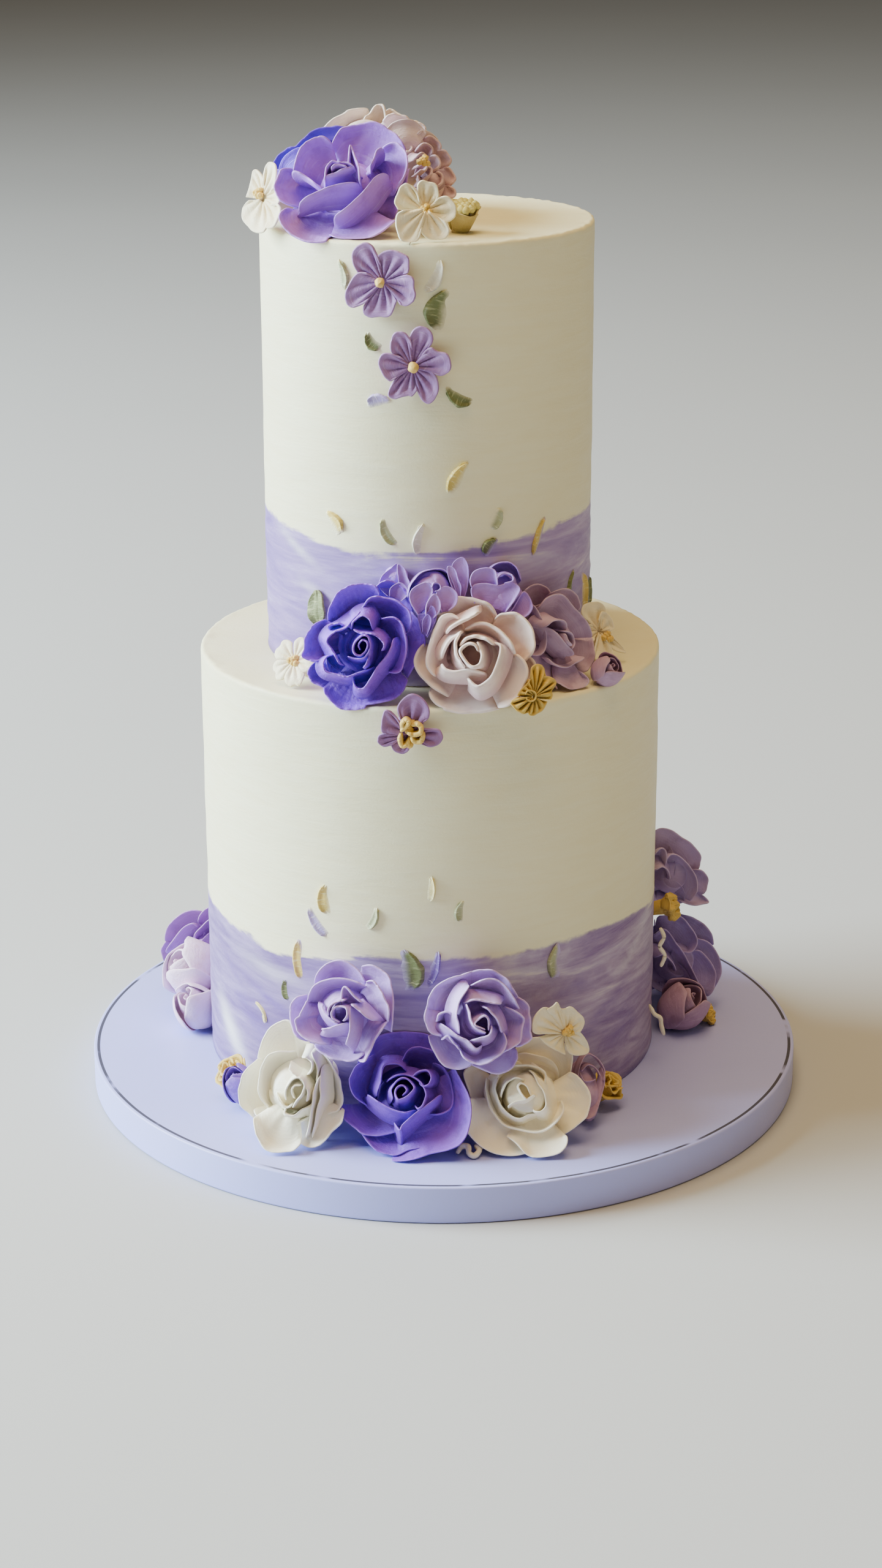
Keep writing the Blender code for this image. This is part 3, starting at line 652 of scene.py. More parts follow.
def ribbon_petal(size, centre, half_angle, swing, fall, wave, profile, seed, cells, curl, ragged,
                 notch=0.0, straight=0.0, folds=0.0, rim=0.5):
    """One piped petal round the flower's axis, as a ribbon not yet given its thickness."""
    bpy.ops.mesh.primitive_grid_add(x_subdivisions=cells[0], y_subdivisions=cells[1], size=2.0)
    made = bpy.context.object
    thin_to_rim(made, rim)
    shift = Vector((seed * 3.17, seed * 1.71, seed * 0.37))
    phase = (seed * 2.39) % (2 * math.pi)
    chord = math.cos(0.6 * half_angle)
    for vertex in made.data.vertices:
        side, share = vertex.co.x, (vertex.co.y + 1) / 2
        end = abs(side)
        height = share * (1 - fall * end ** 2.4)
        height *= 1 - notch * math.exp(-(side / 0.20) ** 2) * share
        out, up = along_curve(profile, height)
        angle = half_angle * side * (0.74 + 0.26 * min(1.0, share * 1.5))
        out *= 1 + straight * (chord / max(0.35, math.cos(0.9 * angle)) - 1) * share
        roll = max(0.0, share - 0.66) / 0.34
        lean = curl * (1 + 0.7 * noise.noise(Vector((side * 1.3, 0.0, 0.0)) + shift))
        out += lean * roll * roll
        up -= 0.9 * lean * roll ** 3
        out += swing * side * (0.35 + 0.65 * share)
        out += wave * math.sin(1.7 * math.pi * side + phase) * share ** 2
        up += 0.8 * wave * math.cos(1.3 * math.pi * side + phase * 1.7) * share ** 2
        if folds:
            up += folds * math.cos(2.5 * math.pi * side) * math.sin(math.pi * min(1.0, share * 1.05))
        dent = noise.noise(Vector((side * 1.8, share * 1.4, 0.0)) + shift)
        out += 0.03 * dent * share
        ridge = 0.007 * math.sin(19 * share + 3.0 * dent)
        teeth = noise.noise(Vector((side * 13.0, share * 2.0, 5.0)) + shift)
        teeth += 0.8 * noise.noise(Vector((side * 27.0, share * 3.0, 9.0)) + shift)
        torn = max(0.0, share - 0.84) / 0.16
        out += ridge + 0.5 * ragged * teeth * torn
        up += ragged * teeth * torn
        out = max(out, 0.01)
        angle += centre
        vertex.co = (math.cos(angle) * out * size, math.sin(angle) * out * size, up * size)
    return made


def spiral_heart(size, turn, turns, inner, outer, low, high, seed, cells, ragged=0.015):
    """The ribbon wound into a cone at the heart of a rose."""
    bpy.ops.mesh.primitive_grid_add(x_subdivisions=cells[0], y_subdivisions=cells[1], size=2.0)
    made = bpy.context.object
    thin_to_rim(made, 0.15)
    shift = Vector((seed * 1.3, seed * 2.1, seed))
    for vertex in made.data.vertices:
        run, share = (vertex.co.x + 1) / 2, (vertex.co.y + 1) / 2
        ease = min(1.0, 5 * (1 - run))
        out = inner + (outer - inner) * run + 0.05 * (share - 0.5)
        out += 0.02 * noise.noise(Vector((run * 7, share * 2, 0.0)) + shift)
        teeth = noise.noise(Vector((run * 22, share, 4.0)) + shift) * ragged
        up = low + (high - low) * share * (0.75 + 0.25 * ease) - 0.05 * run * share
        up += teeth * max(0.0, share - 0.7) / 0.3 * 2
        angle = turn + run * turns * 2 * math.pi
        vertex.co = (math.cos(angle) * out * size, math.sin(angle) * out * size, up * size)
    return made


def stub(size, points, seed):
    """The cone of icing behind a flower, that holds it to the cake."""
    bpy.ops.mesh.primitive_cylinder_add(vertices=28, radius=1.0, depth=1.0, end_fill_type="TRIFAN")
    made = bpy.context.object
    pick(made, "EDGE", lambda ends: abs(ends[0].z - ends[1].z) > 0.5)
    bpy.ops.mesh.subdivide(number_cuts=6)
    deselect()
    shift = Vector((seed, 0.0, seed * 0.7))
    low, high = points[0], points[-1]
    for vertex in made.data.vertices:
        share = vertex.co.z + 0.5
        flat = Vector((vertex.co.x, vertex.co.y, 0.0))
        width = flat.length
        if width > 1e-6:
            flat /= width
        middle = points[1]
        if share < 0.5:
            out = low[0] + (middle[0] - low[0]) * share * 2
            up = low[1] + (middle[1] - low[1]) * share * 2
        else:
            out = middle[0] + (high[0] - middle[0]) * (share * 2 - 1)
            up = middle[1] + (high[1] - middle[1]) * (share * 2 - 1)
        out *= width * (1 + 0.08 * noise.noise(flat * 2.0 + shift + Vector((0, 0, share * 2))))
        vertex.co = (flat.x * out * size, flat.y * out * size, up * size)
    return made


def set_in_place(piece, x, y, z, azimuth, elevation):
    """Puts a piece that was made round the +Z axis on the cake, facing outwards."""
    deselect()
    piece.select_set(True)
    bpy.context.view_layer.objects.active = piece
    piece.location = (x * MM, y * MM, z * MM)
    piece.rotation_euler = (math.radians(90 - elevation), 0.0, math.radians(azimuth))
    bpy.ops.object.transform_apply(location=True, rotation=True, scale=True)


def spot_of(place):
    """Where a flower stands and faces, out of its place, radius and facing."""
    return (*place[:3], *place[4:6])


def joined(parts):
    """Joins pieces into the first of them."""
    deselect()
    for part in parts:
        part.select_set(True)
    bpy.context.view_layer.objects.active = parts[0]
    if len(parts) > 1:
        bpy.ops.object.join()
    return parts[0]


def one_flower(name, parts, thickness, place):
    """Joins a flower's ribbons, gives them thickness, smooths them and sets it on the cake."""
    made = joined(parts)
    made.name = name
    thicken(made, thickness * MM)
    set_in_place(made, *place)
    made.vertex_groups.clear()
    return made


PRESS_DEPTH = 2.2 * MM


def keep_on_cake(piece):
    """Presses the foot of a flower flat where it rests on the board."""
    knee = BOARD_THICKNESS + PRESS_DEPTH
    for vertex in piece.data.vertices:
        if vertex.co.z < knee:
            vertex.co.z = knee - PRESS_DEPTH * (1 - math.exp((vertex.co.z - knee) / PRESS_DEPTH))


def on_stub(flower, size, points, seed, place):
    """Joins a flower to the stub behind it, and presses both on the board where they rest."""
    back = stub(size, points, seed)
    set_in_place(back, *place)
    joined([flower, back])
    keep_on_cake(flower)
    return flower


def piped_rose(name, x, y, z, radius, azimuth, elevation, depth):
    """A whole rose: its spiral heart, its rows of petals and its stub."""
    deselect()
    chance = random.Random(name)
    size = radius * MM
    turn = chance.uniform(0, 2 * math.pi)
    parts = [spiral_heart(size, turn, 1.25, 0.03, 0.17, -0.05, 0.50, chance.random() * 9,
                          (2 * ROSE_CELLS[0], ROSE_CELLS[1]), ROSE_TEETH)]
    for row, (count, half_angle, swing, fall, wave, straight, curl, profile) in enumerate(ROSE_ROWS):
        for index in range(count):
            centre = turn + row * 0.60 + 2 * math.pi * index / count + chance.uniform(-0.09, 0.09)
            grown = 1 + chance.uniform(-0.05, 0.05)
            shape = tuple((out * grown, up + chance.uniform(-0.03, 0.03)) for out, up in profile)
            parts.append(ribbon_petal(
                size, centre, half_angle * (1 + chance.uniform(-0.10, 0.10)), swing,
                fall * chance.uniform(0.7, 1.3), wave * chance.uniform(0.5, 1.6), shape,
                chance.random() * 20, ROSE_CELLS, curl * chance.uniform(0.3, 1.8), ROSE_TEETH,
                straight=straight, rim=ROSE_RIM))
    place = (x, y, z, azimuth, elevation)
    made = one_flower(name + "_piped", parts, ROSE_SKIN * radius, place)
    points = ((0.42, -depth / radius), (0.50, -0.42), (0.30, 0.10))
    return on_stub(made, size, points, chance.random() * 9, place)


# Petals less deep in a tier than the reach are laid on it, and give way from the press on.
TIER_PRESS = 1.2 * MM
TIER_REACH = 10.0 * MM

# How a petal hangs from its rim: how much nearer to the heart its foot is, how far below the rim
# that is, how far it bellies out, how far the rim curls over and how much its ends dive. A foot
# that is farther out than the rim has a minus sign, in shares of the radius.
HANGS = {
    "outer": (0.62, 0.36, 0.10, 0.05, 0.14),
    "middle": (0.40, 0.42, 0.08, 0.03, 0.22),
    "inner": (-0.21, 0.50, 0.03, 0.01, 0.26),
    "heart": (-0.11, 0.50, 0.02, 0.00, 0.06),
    "face": (0.00, 0.26, 0.00, 0.01, 0.04),
}


# The camera, found from the edges of tiers and board in the photograph. The rims below were read
# off the photograph: the pixel of a flower's heart, and for each petal how it hangs, how high its
# two ends stand (hundredths of the radius) and points along its rim, in pixels right of and below
# the heart. They are put on the flower's front as this camera sees it.
CAMERA_PLACE = Vector((-0.00304, -1.0109, 0.4615))
CAMERA_PITCH, CAMERA_YAW, CAMERA_ROLL = 0.3365, 0.0023, -0.0033
FOCAL_PIXELS = 4928.3
PHOTO_MIDDLE = (720, 1280)
camera_turn = Vector((
    math.sin(CAMERA_YAW) * math.cos(CAMERA_PITCH), math.cos(CAMERA_YAW) * math.cos(CAMERA_PITCH),
    -math.sin(CAMERA_PITCH))).to_track_quat("-Z", "Y").to_euler()
camera_turn.rotate_axis("Z", CAMERA_ROLL)


def as_seen(place, right, down, height):
    """The point of a flower's front that shows at a pixel, in shares of the flower's radius."""
    x, y, z, radius, azimuth, elevation = place
    turned = Euler((math.radians(90 - elevation), 0.0, math.radians(azimuth))).to_matrix()
    facing = turned.col[2]
    ray = camera_turn.to_matrix() @ Vector((
        (right - PHOTO_MIDDLE[0]) / FOCAL_PIXELS, (PHOTO_MIDDLE[1] - down) / FOCAL_PIXELS, -1.0))
    middle = (Vector((x, y, z)) + facing * height * radius) * MM
    reach = (middle - CAMERA_PLACE).dot(facing) / ray.dot(facing)
    away = (CAMERA_PLACE + ray * reach - middle) / (radius * MM)
    return Vector((away.dot(turned.col[0]), away.dot(turned.col[1])))


def rim_point(line, share):
    """A point on the smooth curve through the points of a rim."""
    span = share * (len(line) - 1)
    index = min(int(span), len(line) - 2)
    part = span - index
    before, after = line[max(0, index - 1)], line[min(len(line) - 1, index + 2)]
    start, end = line[index], line[index + 1]
    return 0.5 * (2 * start + (end - before) * part
                  + (2 * before - 5 * start + 4 * end - after) * part ** 2
                  + (3 * start - before - 3 * end + after) * part ** 3)


def drawn_petal(place, middle, heart_up, hang, start_up, end_up, numbers, seed, cells=(5, 7),
                ragged=0.014, rim=0.7, crumbled=0.0, folds=0.0):
    """One petal whose rim follows a line that was read off the photograph."""
    pull, drop, belly, curl, fall = HANGS[hang]
    size = place[3] * MM
    heart = as_seen(place, *middle, heart_up)
    ends = len(numbers) // 2 - 1
    line = [as_seen(place, middle[0] + right, middle[1] + down,
                    (start_up + (end_up - start_up) * index / ends) / 100)
            for index, (right, down) in enumerate(zip(numbers[::2], numbers[1::2]))]
    bpy.ops.mesh.primitive_grid_add(
        x_subdivisions=cells[0] * len(line), y_subdivisions=cells[1], size=2.0)
    made = bpy.context.object
    group = made.vertex_groups.new(name="thick")
    shift = Vector((seed * 3.17, seed * 1.71, seed * 0.37))
    for vertex in made.data.vertices:
        side, share = vertex.co.x, (vertex.co.y + 1) / 2
        group.add([vertex.index], (1 - (1 - rim) * share) * (1 - 0.7 * abs(side) ** 6), "REPLACE")
        edge = rim_point(line, (side + 1) / 2)
        away = edge - heart
        foot = edge - away * pull
        away /= max(away.length, 0.08)
        if pull < 0:
            foot = edge - away * pull
        if hang == "face":
            foot = line[0].lerp(line[-1], (side + 1) / 2)
        up = (start_up + (end_up - start_up) * (side + 1) / 2) / 100 - fall * abs(side) ** 6
        left = 1 - share
        flat = foot * left ** 2 + (edge + away * belly) * 2 * share * left + edge * share ** 2
        height = up - drop * (left ** 2 + 1.5 * share * left)
        roll = max(0.0, share - 0.7) / 0.3
        spot = Vector((side * len(line) * 0.4, share * 1.5, 0.0)) + shift
        dent = noise.noise(spot)
        flat += away * (curl * roll ** 2 + 0.03 * dent * share)
        height += 0.03 * dent - 0.6 * curl * roll ** 3
        teeth = noise.noise(spot * 6.0) + 0.8 * noise.noise(spot * 13.0)
        torn = max(0.0, share - 0.84) / 0.16
        flat += away * 0.5 * ragged * teeth * torn
        crumbs = noise.noise(spot * 5.0) + 0.8 * noise.noise(spot * 12.0)
        height += ragged * teeth * torn + crumbled * crumbs * min(1.0, 2 * share)
        height += 0.007 * math.sin(19 * share + 3.0 * dent)
        height += folds * math.cos(3.4 * math.pi * side) * math.sin(math.pi * min(1.0, 0.2 + share))
        vertex.co = (flat.x * size, flat.y * size, height * size)
    return made


def rest_on_tiers(piece):
    """Lays petals that would run into a tier along its wall or its top."""
    for vertex in piece.data.vertices:
        for axis_x, radius, top in ((LOWER_AXIS_X, LOWER_RADIUS, LOWER_TOP),
                                    (UPPER_AXIS_X, UPPER_RADIUS, UPPER_TOP)):
            away = Vector((vertex.co.x - axis_x, vertex.co.y, 0.0))
            beside, above = away.length - radius, vertex.co.z - top
            near = max(beside, above)
            if -TIER_REACH < near < TIER_PRESS:
                lift = TIER_PRESS * math.exp((near - TIER_PRESS) / TIER_PRESS) - near
                vertex.co += away.normalized() * lift if beside > above else Vector((0.0, 0.0, lift))


# The petals under the drawn ones, which wrap the stub: the ribbon from its root to its rim.
BACK_COUNT = 5
BACK_PETAL = ((0.38, -1.00), (0.68, -0.92), (0.60, -0.62), (0.72, -0.40))


def drawn_rose(name, place, rims, skin=0.065, rim=0.7, ragged=0.014, crumbled=0.0, top=-0.10):
    """A rose whose petals are each given by the line of their rim, with more of them below."""
    deselect()
    chance = random.Random(name)
    *front, depth = place
    radius = front[3]
    heart, petals = rims
    parts = [drawn_petal(front, heart, 0.3, *petal, chance.random() * 20, ragged=ragged,
                         rim=rim, crumbled=crumbled) for petal in petals]
    for index in range(BACK_COUNT):
        centre = 2 * math.pi * index / BACK_COUNT + chance.uniform(-0.1, 0.1)
        fall = 0.30 * chance.uniform(0.6, 1.4)
        parts.append(ribbon_petal(
            radius * MM, centre, 0.80, 0.06, fall, 0.03, BACK_PETAL, chance.random() * 20, (14, 5),
            0.06 * chance.uniform(0.4, 1.6), ragged, rim=rim))
    spot = spot_of(place)
    made = one_flower(name + "_piped", parts, skin * radius, spot)
    rest_on_tiers(made)
    points = ((0.42, -depth / radius), (0.52, -0.46), (0.30, top))
    return on_stub(made, radius * MM, points, 3.0, spot)


# The petals of each rose from the outermost in: how it hangs, the height of its rim at both
# ends, and the line of the rim. The pair before them is the middle of the rose's heart.
LOW_RIMS = {
    "rose_low_violet": ((656, 1785), (
        ("outer", -15, -15, (-71, -45, -46, -83, -6, -98, 44, -92, 81, -47)),
        ("outer", 35, 18, (80, -43, 105, 5, 107, 50, 89, 81, 44, 96, 6, 107, -17, 114)),
        ("outer", -10, 2, (-99, 15, -94, 33, -76, 52, -56, 64, -31, 64, -4, 56)),
        ("outer", 0, 8, (-64, 61, -51, 79, -34, 92, -11, 97, 12, 87, 39, 81)),
        ("outer", 0, 0, (8, 63, 34, 77, 59, 70, 75, 52, 78, 23)),
        ("middle", 2, 5, (-1, -47, 12, -69, 39, -73, 60, -59, 66, -47)),
        ("middle", 5, 5, (-44, -63, -68, -47, -80, -30, -82, -12, -73, 5, -54, 18)),
        ("middle", 12, 18, (47, -51, 66, -43, 75, -25, 81, 5, 77, 23, 60, 32, 40, 30)),
        ("inner", 30, 36, (-57, -1, -38, 13, -16, 25, 6, 30, 24, 25)),
        ("inner", 38, 38, (61, -1, 44, 15, 19, 33, 1, 51, -4, 58, -14, 43)),
        ("inner", 25, 32, (-42, 1, -36, -17, -32, -37, -24, -49, -4, -47, 6, -37)),
        ("inner", 40, 44, (-26, -21, -8, -29, 14, -28, 29, -17, 38, 1, 35, 16, 25, 23, 18, 15)),
        ("heart", 44, 44, (16, -27, 26, -35, 40, -37, 48, -29, 45, -17, 35, -12, 28, -20)),
        ("heart", 44, 50, (-16, 8, -19, -7, -8, -21, 9, -23, 21, -11, 8, 4, -5, 10, -11, 0, -7, -11,
            3, -13, 7, -4, 0, 3)),
    )),
    "rose_low_lilac_left": ((547, 1655), (
        ("outer", -25, -20, (-34, -43, -27, -61, -15, -76, 3, -83, 23, -78, 38, -65, 45, -49)),
        ("outer", -15, -10, (39, -75, 55, -75, 71, -69, 85, -56, 90, -33, 90, -5, 89, 13, 87, 30)),
        ("outer", -20, -20, (-47, -30, -60, -25, -70, -14, -72, 5, -67, 25, -57, 37, -45, 44)),
        ("middle", -8, 0, (-49, -15, -39, -37, -25, -50, 1, -55, 28, -52, 45, -42)),
        ("middle", -2, 6, (-48, -21, -50, -8, -56, 3, -63, 11, -60, 27, -47, 39, -30, 46, -12, 50)),
        ("outer", -12, -4, (-35, 49, -19, 63, 5, 72, 29, 73, 45, 61)),
        ("middle", 6, 12, (33, 75, 45, 76, 52, 65, 60, 47, 69, 30, 79, 13)),
        ("middle", 8, 12, (45, -50, 59, -52, 69, -42, 77, -25, 83, -15, 85, 1, 80, 14)),
        ("face", 30, 34, (9, -15, 11, -37, 16, -43, 28, -31, 42, -18)),
        ("inner", 42, 36, (21, -15, 33, -9, 45, 1, 59, 12)),
        ("inner", 42, 36, (20, -11, 22, 5, 23, 25, 20, 40, 14, 52)),
        ("inner", 36, 42, (-24, -12, -17, -1, -6, 9, 6, 17)),
        ("inner", 34, 42, (-25, 24, -12, 24, 3, 19, 21, 14)),
        ("heart", 44, 44, (-11, 3, -11, -6, -4, -15, 5, -21, 15, -22)),
        ("heart", 42, 46, (5, 14, -5, 6, -4, -7, 6, -12, 17, -9, 18, 3, 11, 12)),
    )),
    "rose_low_lilac_right": ((785, 1670), (
        ("outer", -10, -10, (-85, -18, -82, -38, -69, -58, -50, -69, -33, -74, -11, -80)),
        ("outer", -14, -14, (-30, -75, -5, -83, 18, -82, 33, -75, 48, -58, 59, -39)),
        ("outer", -25, -20, (58, -41, 70, -32, 77, -21, 76, -5, 78, 12, 79, 26, 68, 34, 55, 38)),
        ("outer", -10, -10, (-85, -27, -88, -10, -83, 8, -73, 18, -57, 20)),
        ("outer", -22, -22, (-80, 20, -78, 36, -70, 52, -58, 65, -39, 72, -20, 68, -8, 62)),
        ("outer", -28, -26, (-20, 62, 1, 72, 25, 81, 45, 73, 57, 58, 57, 42)),
        ("middle", 0, 4, (37, -25, 55, -17, 69, -5, 65, 15, 61, 30, 48, 40, 35, 49)),
        ("middle", 10, 12, (-15, -58, 1, -66, 21, -70, 37, -61, 53, -40, 63, -21)),
        ("middle", 8, 14, (-32, 38, -28, 52, -14, 63, 1, 65, 20, 57, 34, 48, 41, 31, 37, 15)),
        ("middle", 8, 10, (-69, -1, -66, -13, -52, -17, -43, -9)),
        ("middle", 6, 10, (-61, 28, -52, 22, -40, 34, -31, 43)),
        ("inner", 30, 34, (-16, -59, -28, -45, -36, -30, -39, -14, -36, 3, -31, 19)),
        ("inner", 34, 34, (-26, -30, -13, -36, 5, -35, 21, -32, 35, -29)),
        ("inner", 40, 32, (2, -26, 13, -20, 23, -9, 30, 5, 34, 16)),
        ("inner", 18, 30, (-63, 2, -50, 12, -35, 22, -21, 29, -7, 42, 5, 37)),
        ("inner", 36, 42, (-15, 29, 0, 24, 13, 18, 18, 4)),
        ("heart", 42, 44, (-22, -29, -17, -15, -14, -2, -5, 10, 9, 16)),
        ("heart", 44, 44, (14, 13, 14, -2, 8, -10, 0, -8, -9, 1, -1, 8, 8, 11)),
    )),
    "rose_low_white_left": ((480, 1786), (
        ("outer", -22, -16, (-58, -53, -52, -78, -40, -101, -25, -113, -8, -115, 6, -96, 25, -74)),
        ("outer", -12, -12, (-58, -54, -75, -36, -83, -21, -87, 0, -82, 20, -67, 34, -52, 45)),
        ("outer", 35, 42, (-65, 39, -59, 64, -48, 84, -28, 92, -6, 91, 10, 78)),
        ("outer", 18, 20, (77, 26, 72, 46, 55, 63, 40, 80, 25, 84, 7, 77)),
        ("middle", 0, 5, (40, -66, 55, -51, 68, -30, 74, -10, 76, 13, 69, 27, 58, 29, 47, 33)),
        ("middle", 6, 10, (0, -64, -25, -65, -42, -58, -52, -40, -55, -16, -52, 9, -40, 26)),
        ("middle", 6, 12, (-66, 27, -48, 46, -25, 54, 0, 48, 23, 36)),
        ("inner", 24, 20, (26, -66, 34, -51, 37, -34, 35, -16)),
        ("inner", 30, 28, (10, -56, 20, -58, 28, -49, 27, -36, 18, -28)),
        ("inner", 30, 22, (43, -41, 41, -11, 42, 9, 36, 29, 32, 54, 27, 75)),
        ("inner", 40, 28, (40, -28, 31, -4, 29, 14, 26, 39, 22, 59, 17, 72)),
        ("inner", 36, 42, (27, 17, 15, 25, 0, 34, -15, 31, -12, 20)),
        ("inner", 36, 40, (-29, -1, -23, 13, -11, 21, 0, 14)),
        ("heart", 42, 44, (-10, -39, 2, -30, 14, -20, 22, -4, 19, 13)),
        ("heart", 44, 48, (-14, 12, -12, -7, -3, -22, 10, -25, 17, -13, 12, 1, 3, 12, -3, 23)),
        ("heart", 44, 46, (0, 10, -4, -4, 1, -13, 11, -13)),
    )),
    "rose_low_white_right": ((853, 1783), (
        ("outer", -35, -30, (-15, -65, 9, -83, 42, -87, 67, -75, 78, -55, 75, -31)),
        ("outer", -10, -2, (-76, -46, -91, -33, -85, -5, -75, 17, -61, 34, -43, 48)),
        ("outer", 19, 26, (-80, 7, -87, 27, -89, 52, -83, 69, -63, 85, -38, 97, -13, 101, 9, 96)),
        ("outer", 26, 26, (-25, 66, -8, 79, 5, 95, 17, 102, 37, 102, 57, 95, 69, 83, 69, 67)),
        ("outer", -8, -4, (72, -33, 88, -25, 102, -8, 107, 11, 103, 32, 96, 43, 77, 58, 52, 69)),
        ("middle", 14, 20, (-58, -26, -57, -1, -47, 28, -31, 49, -3, 59, 27, 62, 50, 49, 65, 25, 60,
            11)),
        ("middle", 18, 18, (-42, -15, -33, -33, -13, -41, 9, -42, 27, -37, 35, -25, 31, -11)),
        ("inner", 26, 26, (-37, -29, -45, -8, -42, 7, -32, 25, -17, 39, -2, 42, 13, 35, 30, 32)),
        ("inner", 32, 38, (9, -38, 19, -25, 28, -12, 35, 4, 38, 20, 31, 30, 19, 30, 16, 23)),
        ("inner", 34, 38, (-34, 7, -29, -8, -20, -20, -7, -23, 5, -20)),
        ("heart", 38, 44, (-24, 23, -11, 15, 5, 13, 19, 3)),
        ("heart", 42, 46, (15, 7, 9, -8, -1, -15, -7, -10, -2, 1, 7, 12)),
    )),
}
LOW_SHAPES = {
    "rose_low_violet": dict(skin=0.038, rim=0.70, ragged=0.014, crumbled=0.006),
    "rose_low_lilac_left": dict(skin=0.050, rim=0.80, ragged=0.016),
    "rose_low_lilac_right": dict(skin=0.048, rim=0.80, ragged=0.020),
    "rose_low_white_left": dict(skin=0.044, rim=0.75, ragged=0.014, top=0.16),
    "rose_low_white_right": dict(skin=0.044, rim=0.70, ragged=0.007, top=0.22),
}
LOW_LOOKS = {
    "rose_low_violet": dict(
        body=(0.26, 0.09, 0.66), rim=(0.36, 0.20, 0.76), deep=(0.11, 0.03, 0.35), crumb=0.8),
    "rose_low_lilac_left": dict(
        body=(0.56, 0.36, 0.80), rim=(0.68, 0.52, 0.86), deep=(0.34, 0.17, 0.54)),
    "rose_low_lilac_right": dict(
        body=(0.58, 0.40, 0.82), rim=(0.72, 0.58, 0.88), deep=(0.32, 0.16, 0.52)),
    "rose_low_white_left": dict(
        body=(0.99, 0.95, 0.80), rim=(0.99, 0.97, 0.86), deep=(0.99, 0.94, 0.76), crumb=0.4),
    "rose_low_white_right": dict(
        body=(0.98, 0.93, 0.78), rim=(0.99, 0.95, 0.82), deep=(0.98, 0.90, 0.70), crumb=0.3, streaks=0.2),
}
for name, (slot, *place) in LOW_ROSES.items():
    rose = drawn_rose(name, place, LOW_RIMS[name], **LOW_SHAPES[name])
    hand_over(rose, piped_icing(name, **LOW_LOOKS[name]), slot, name)

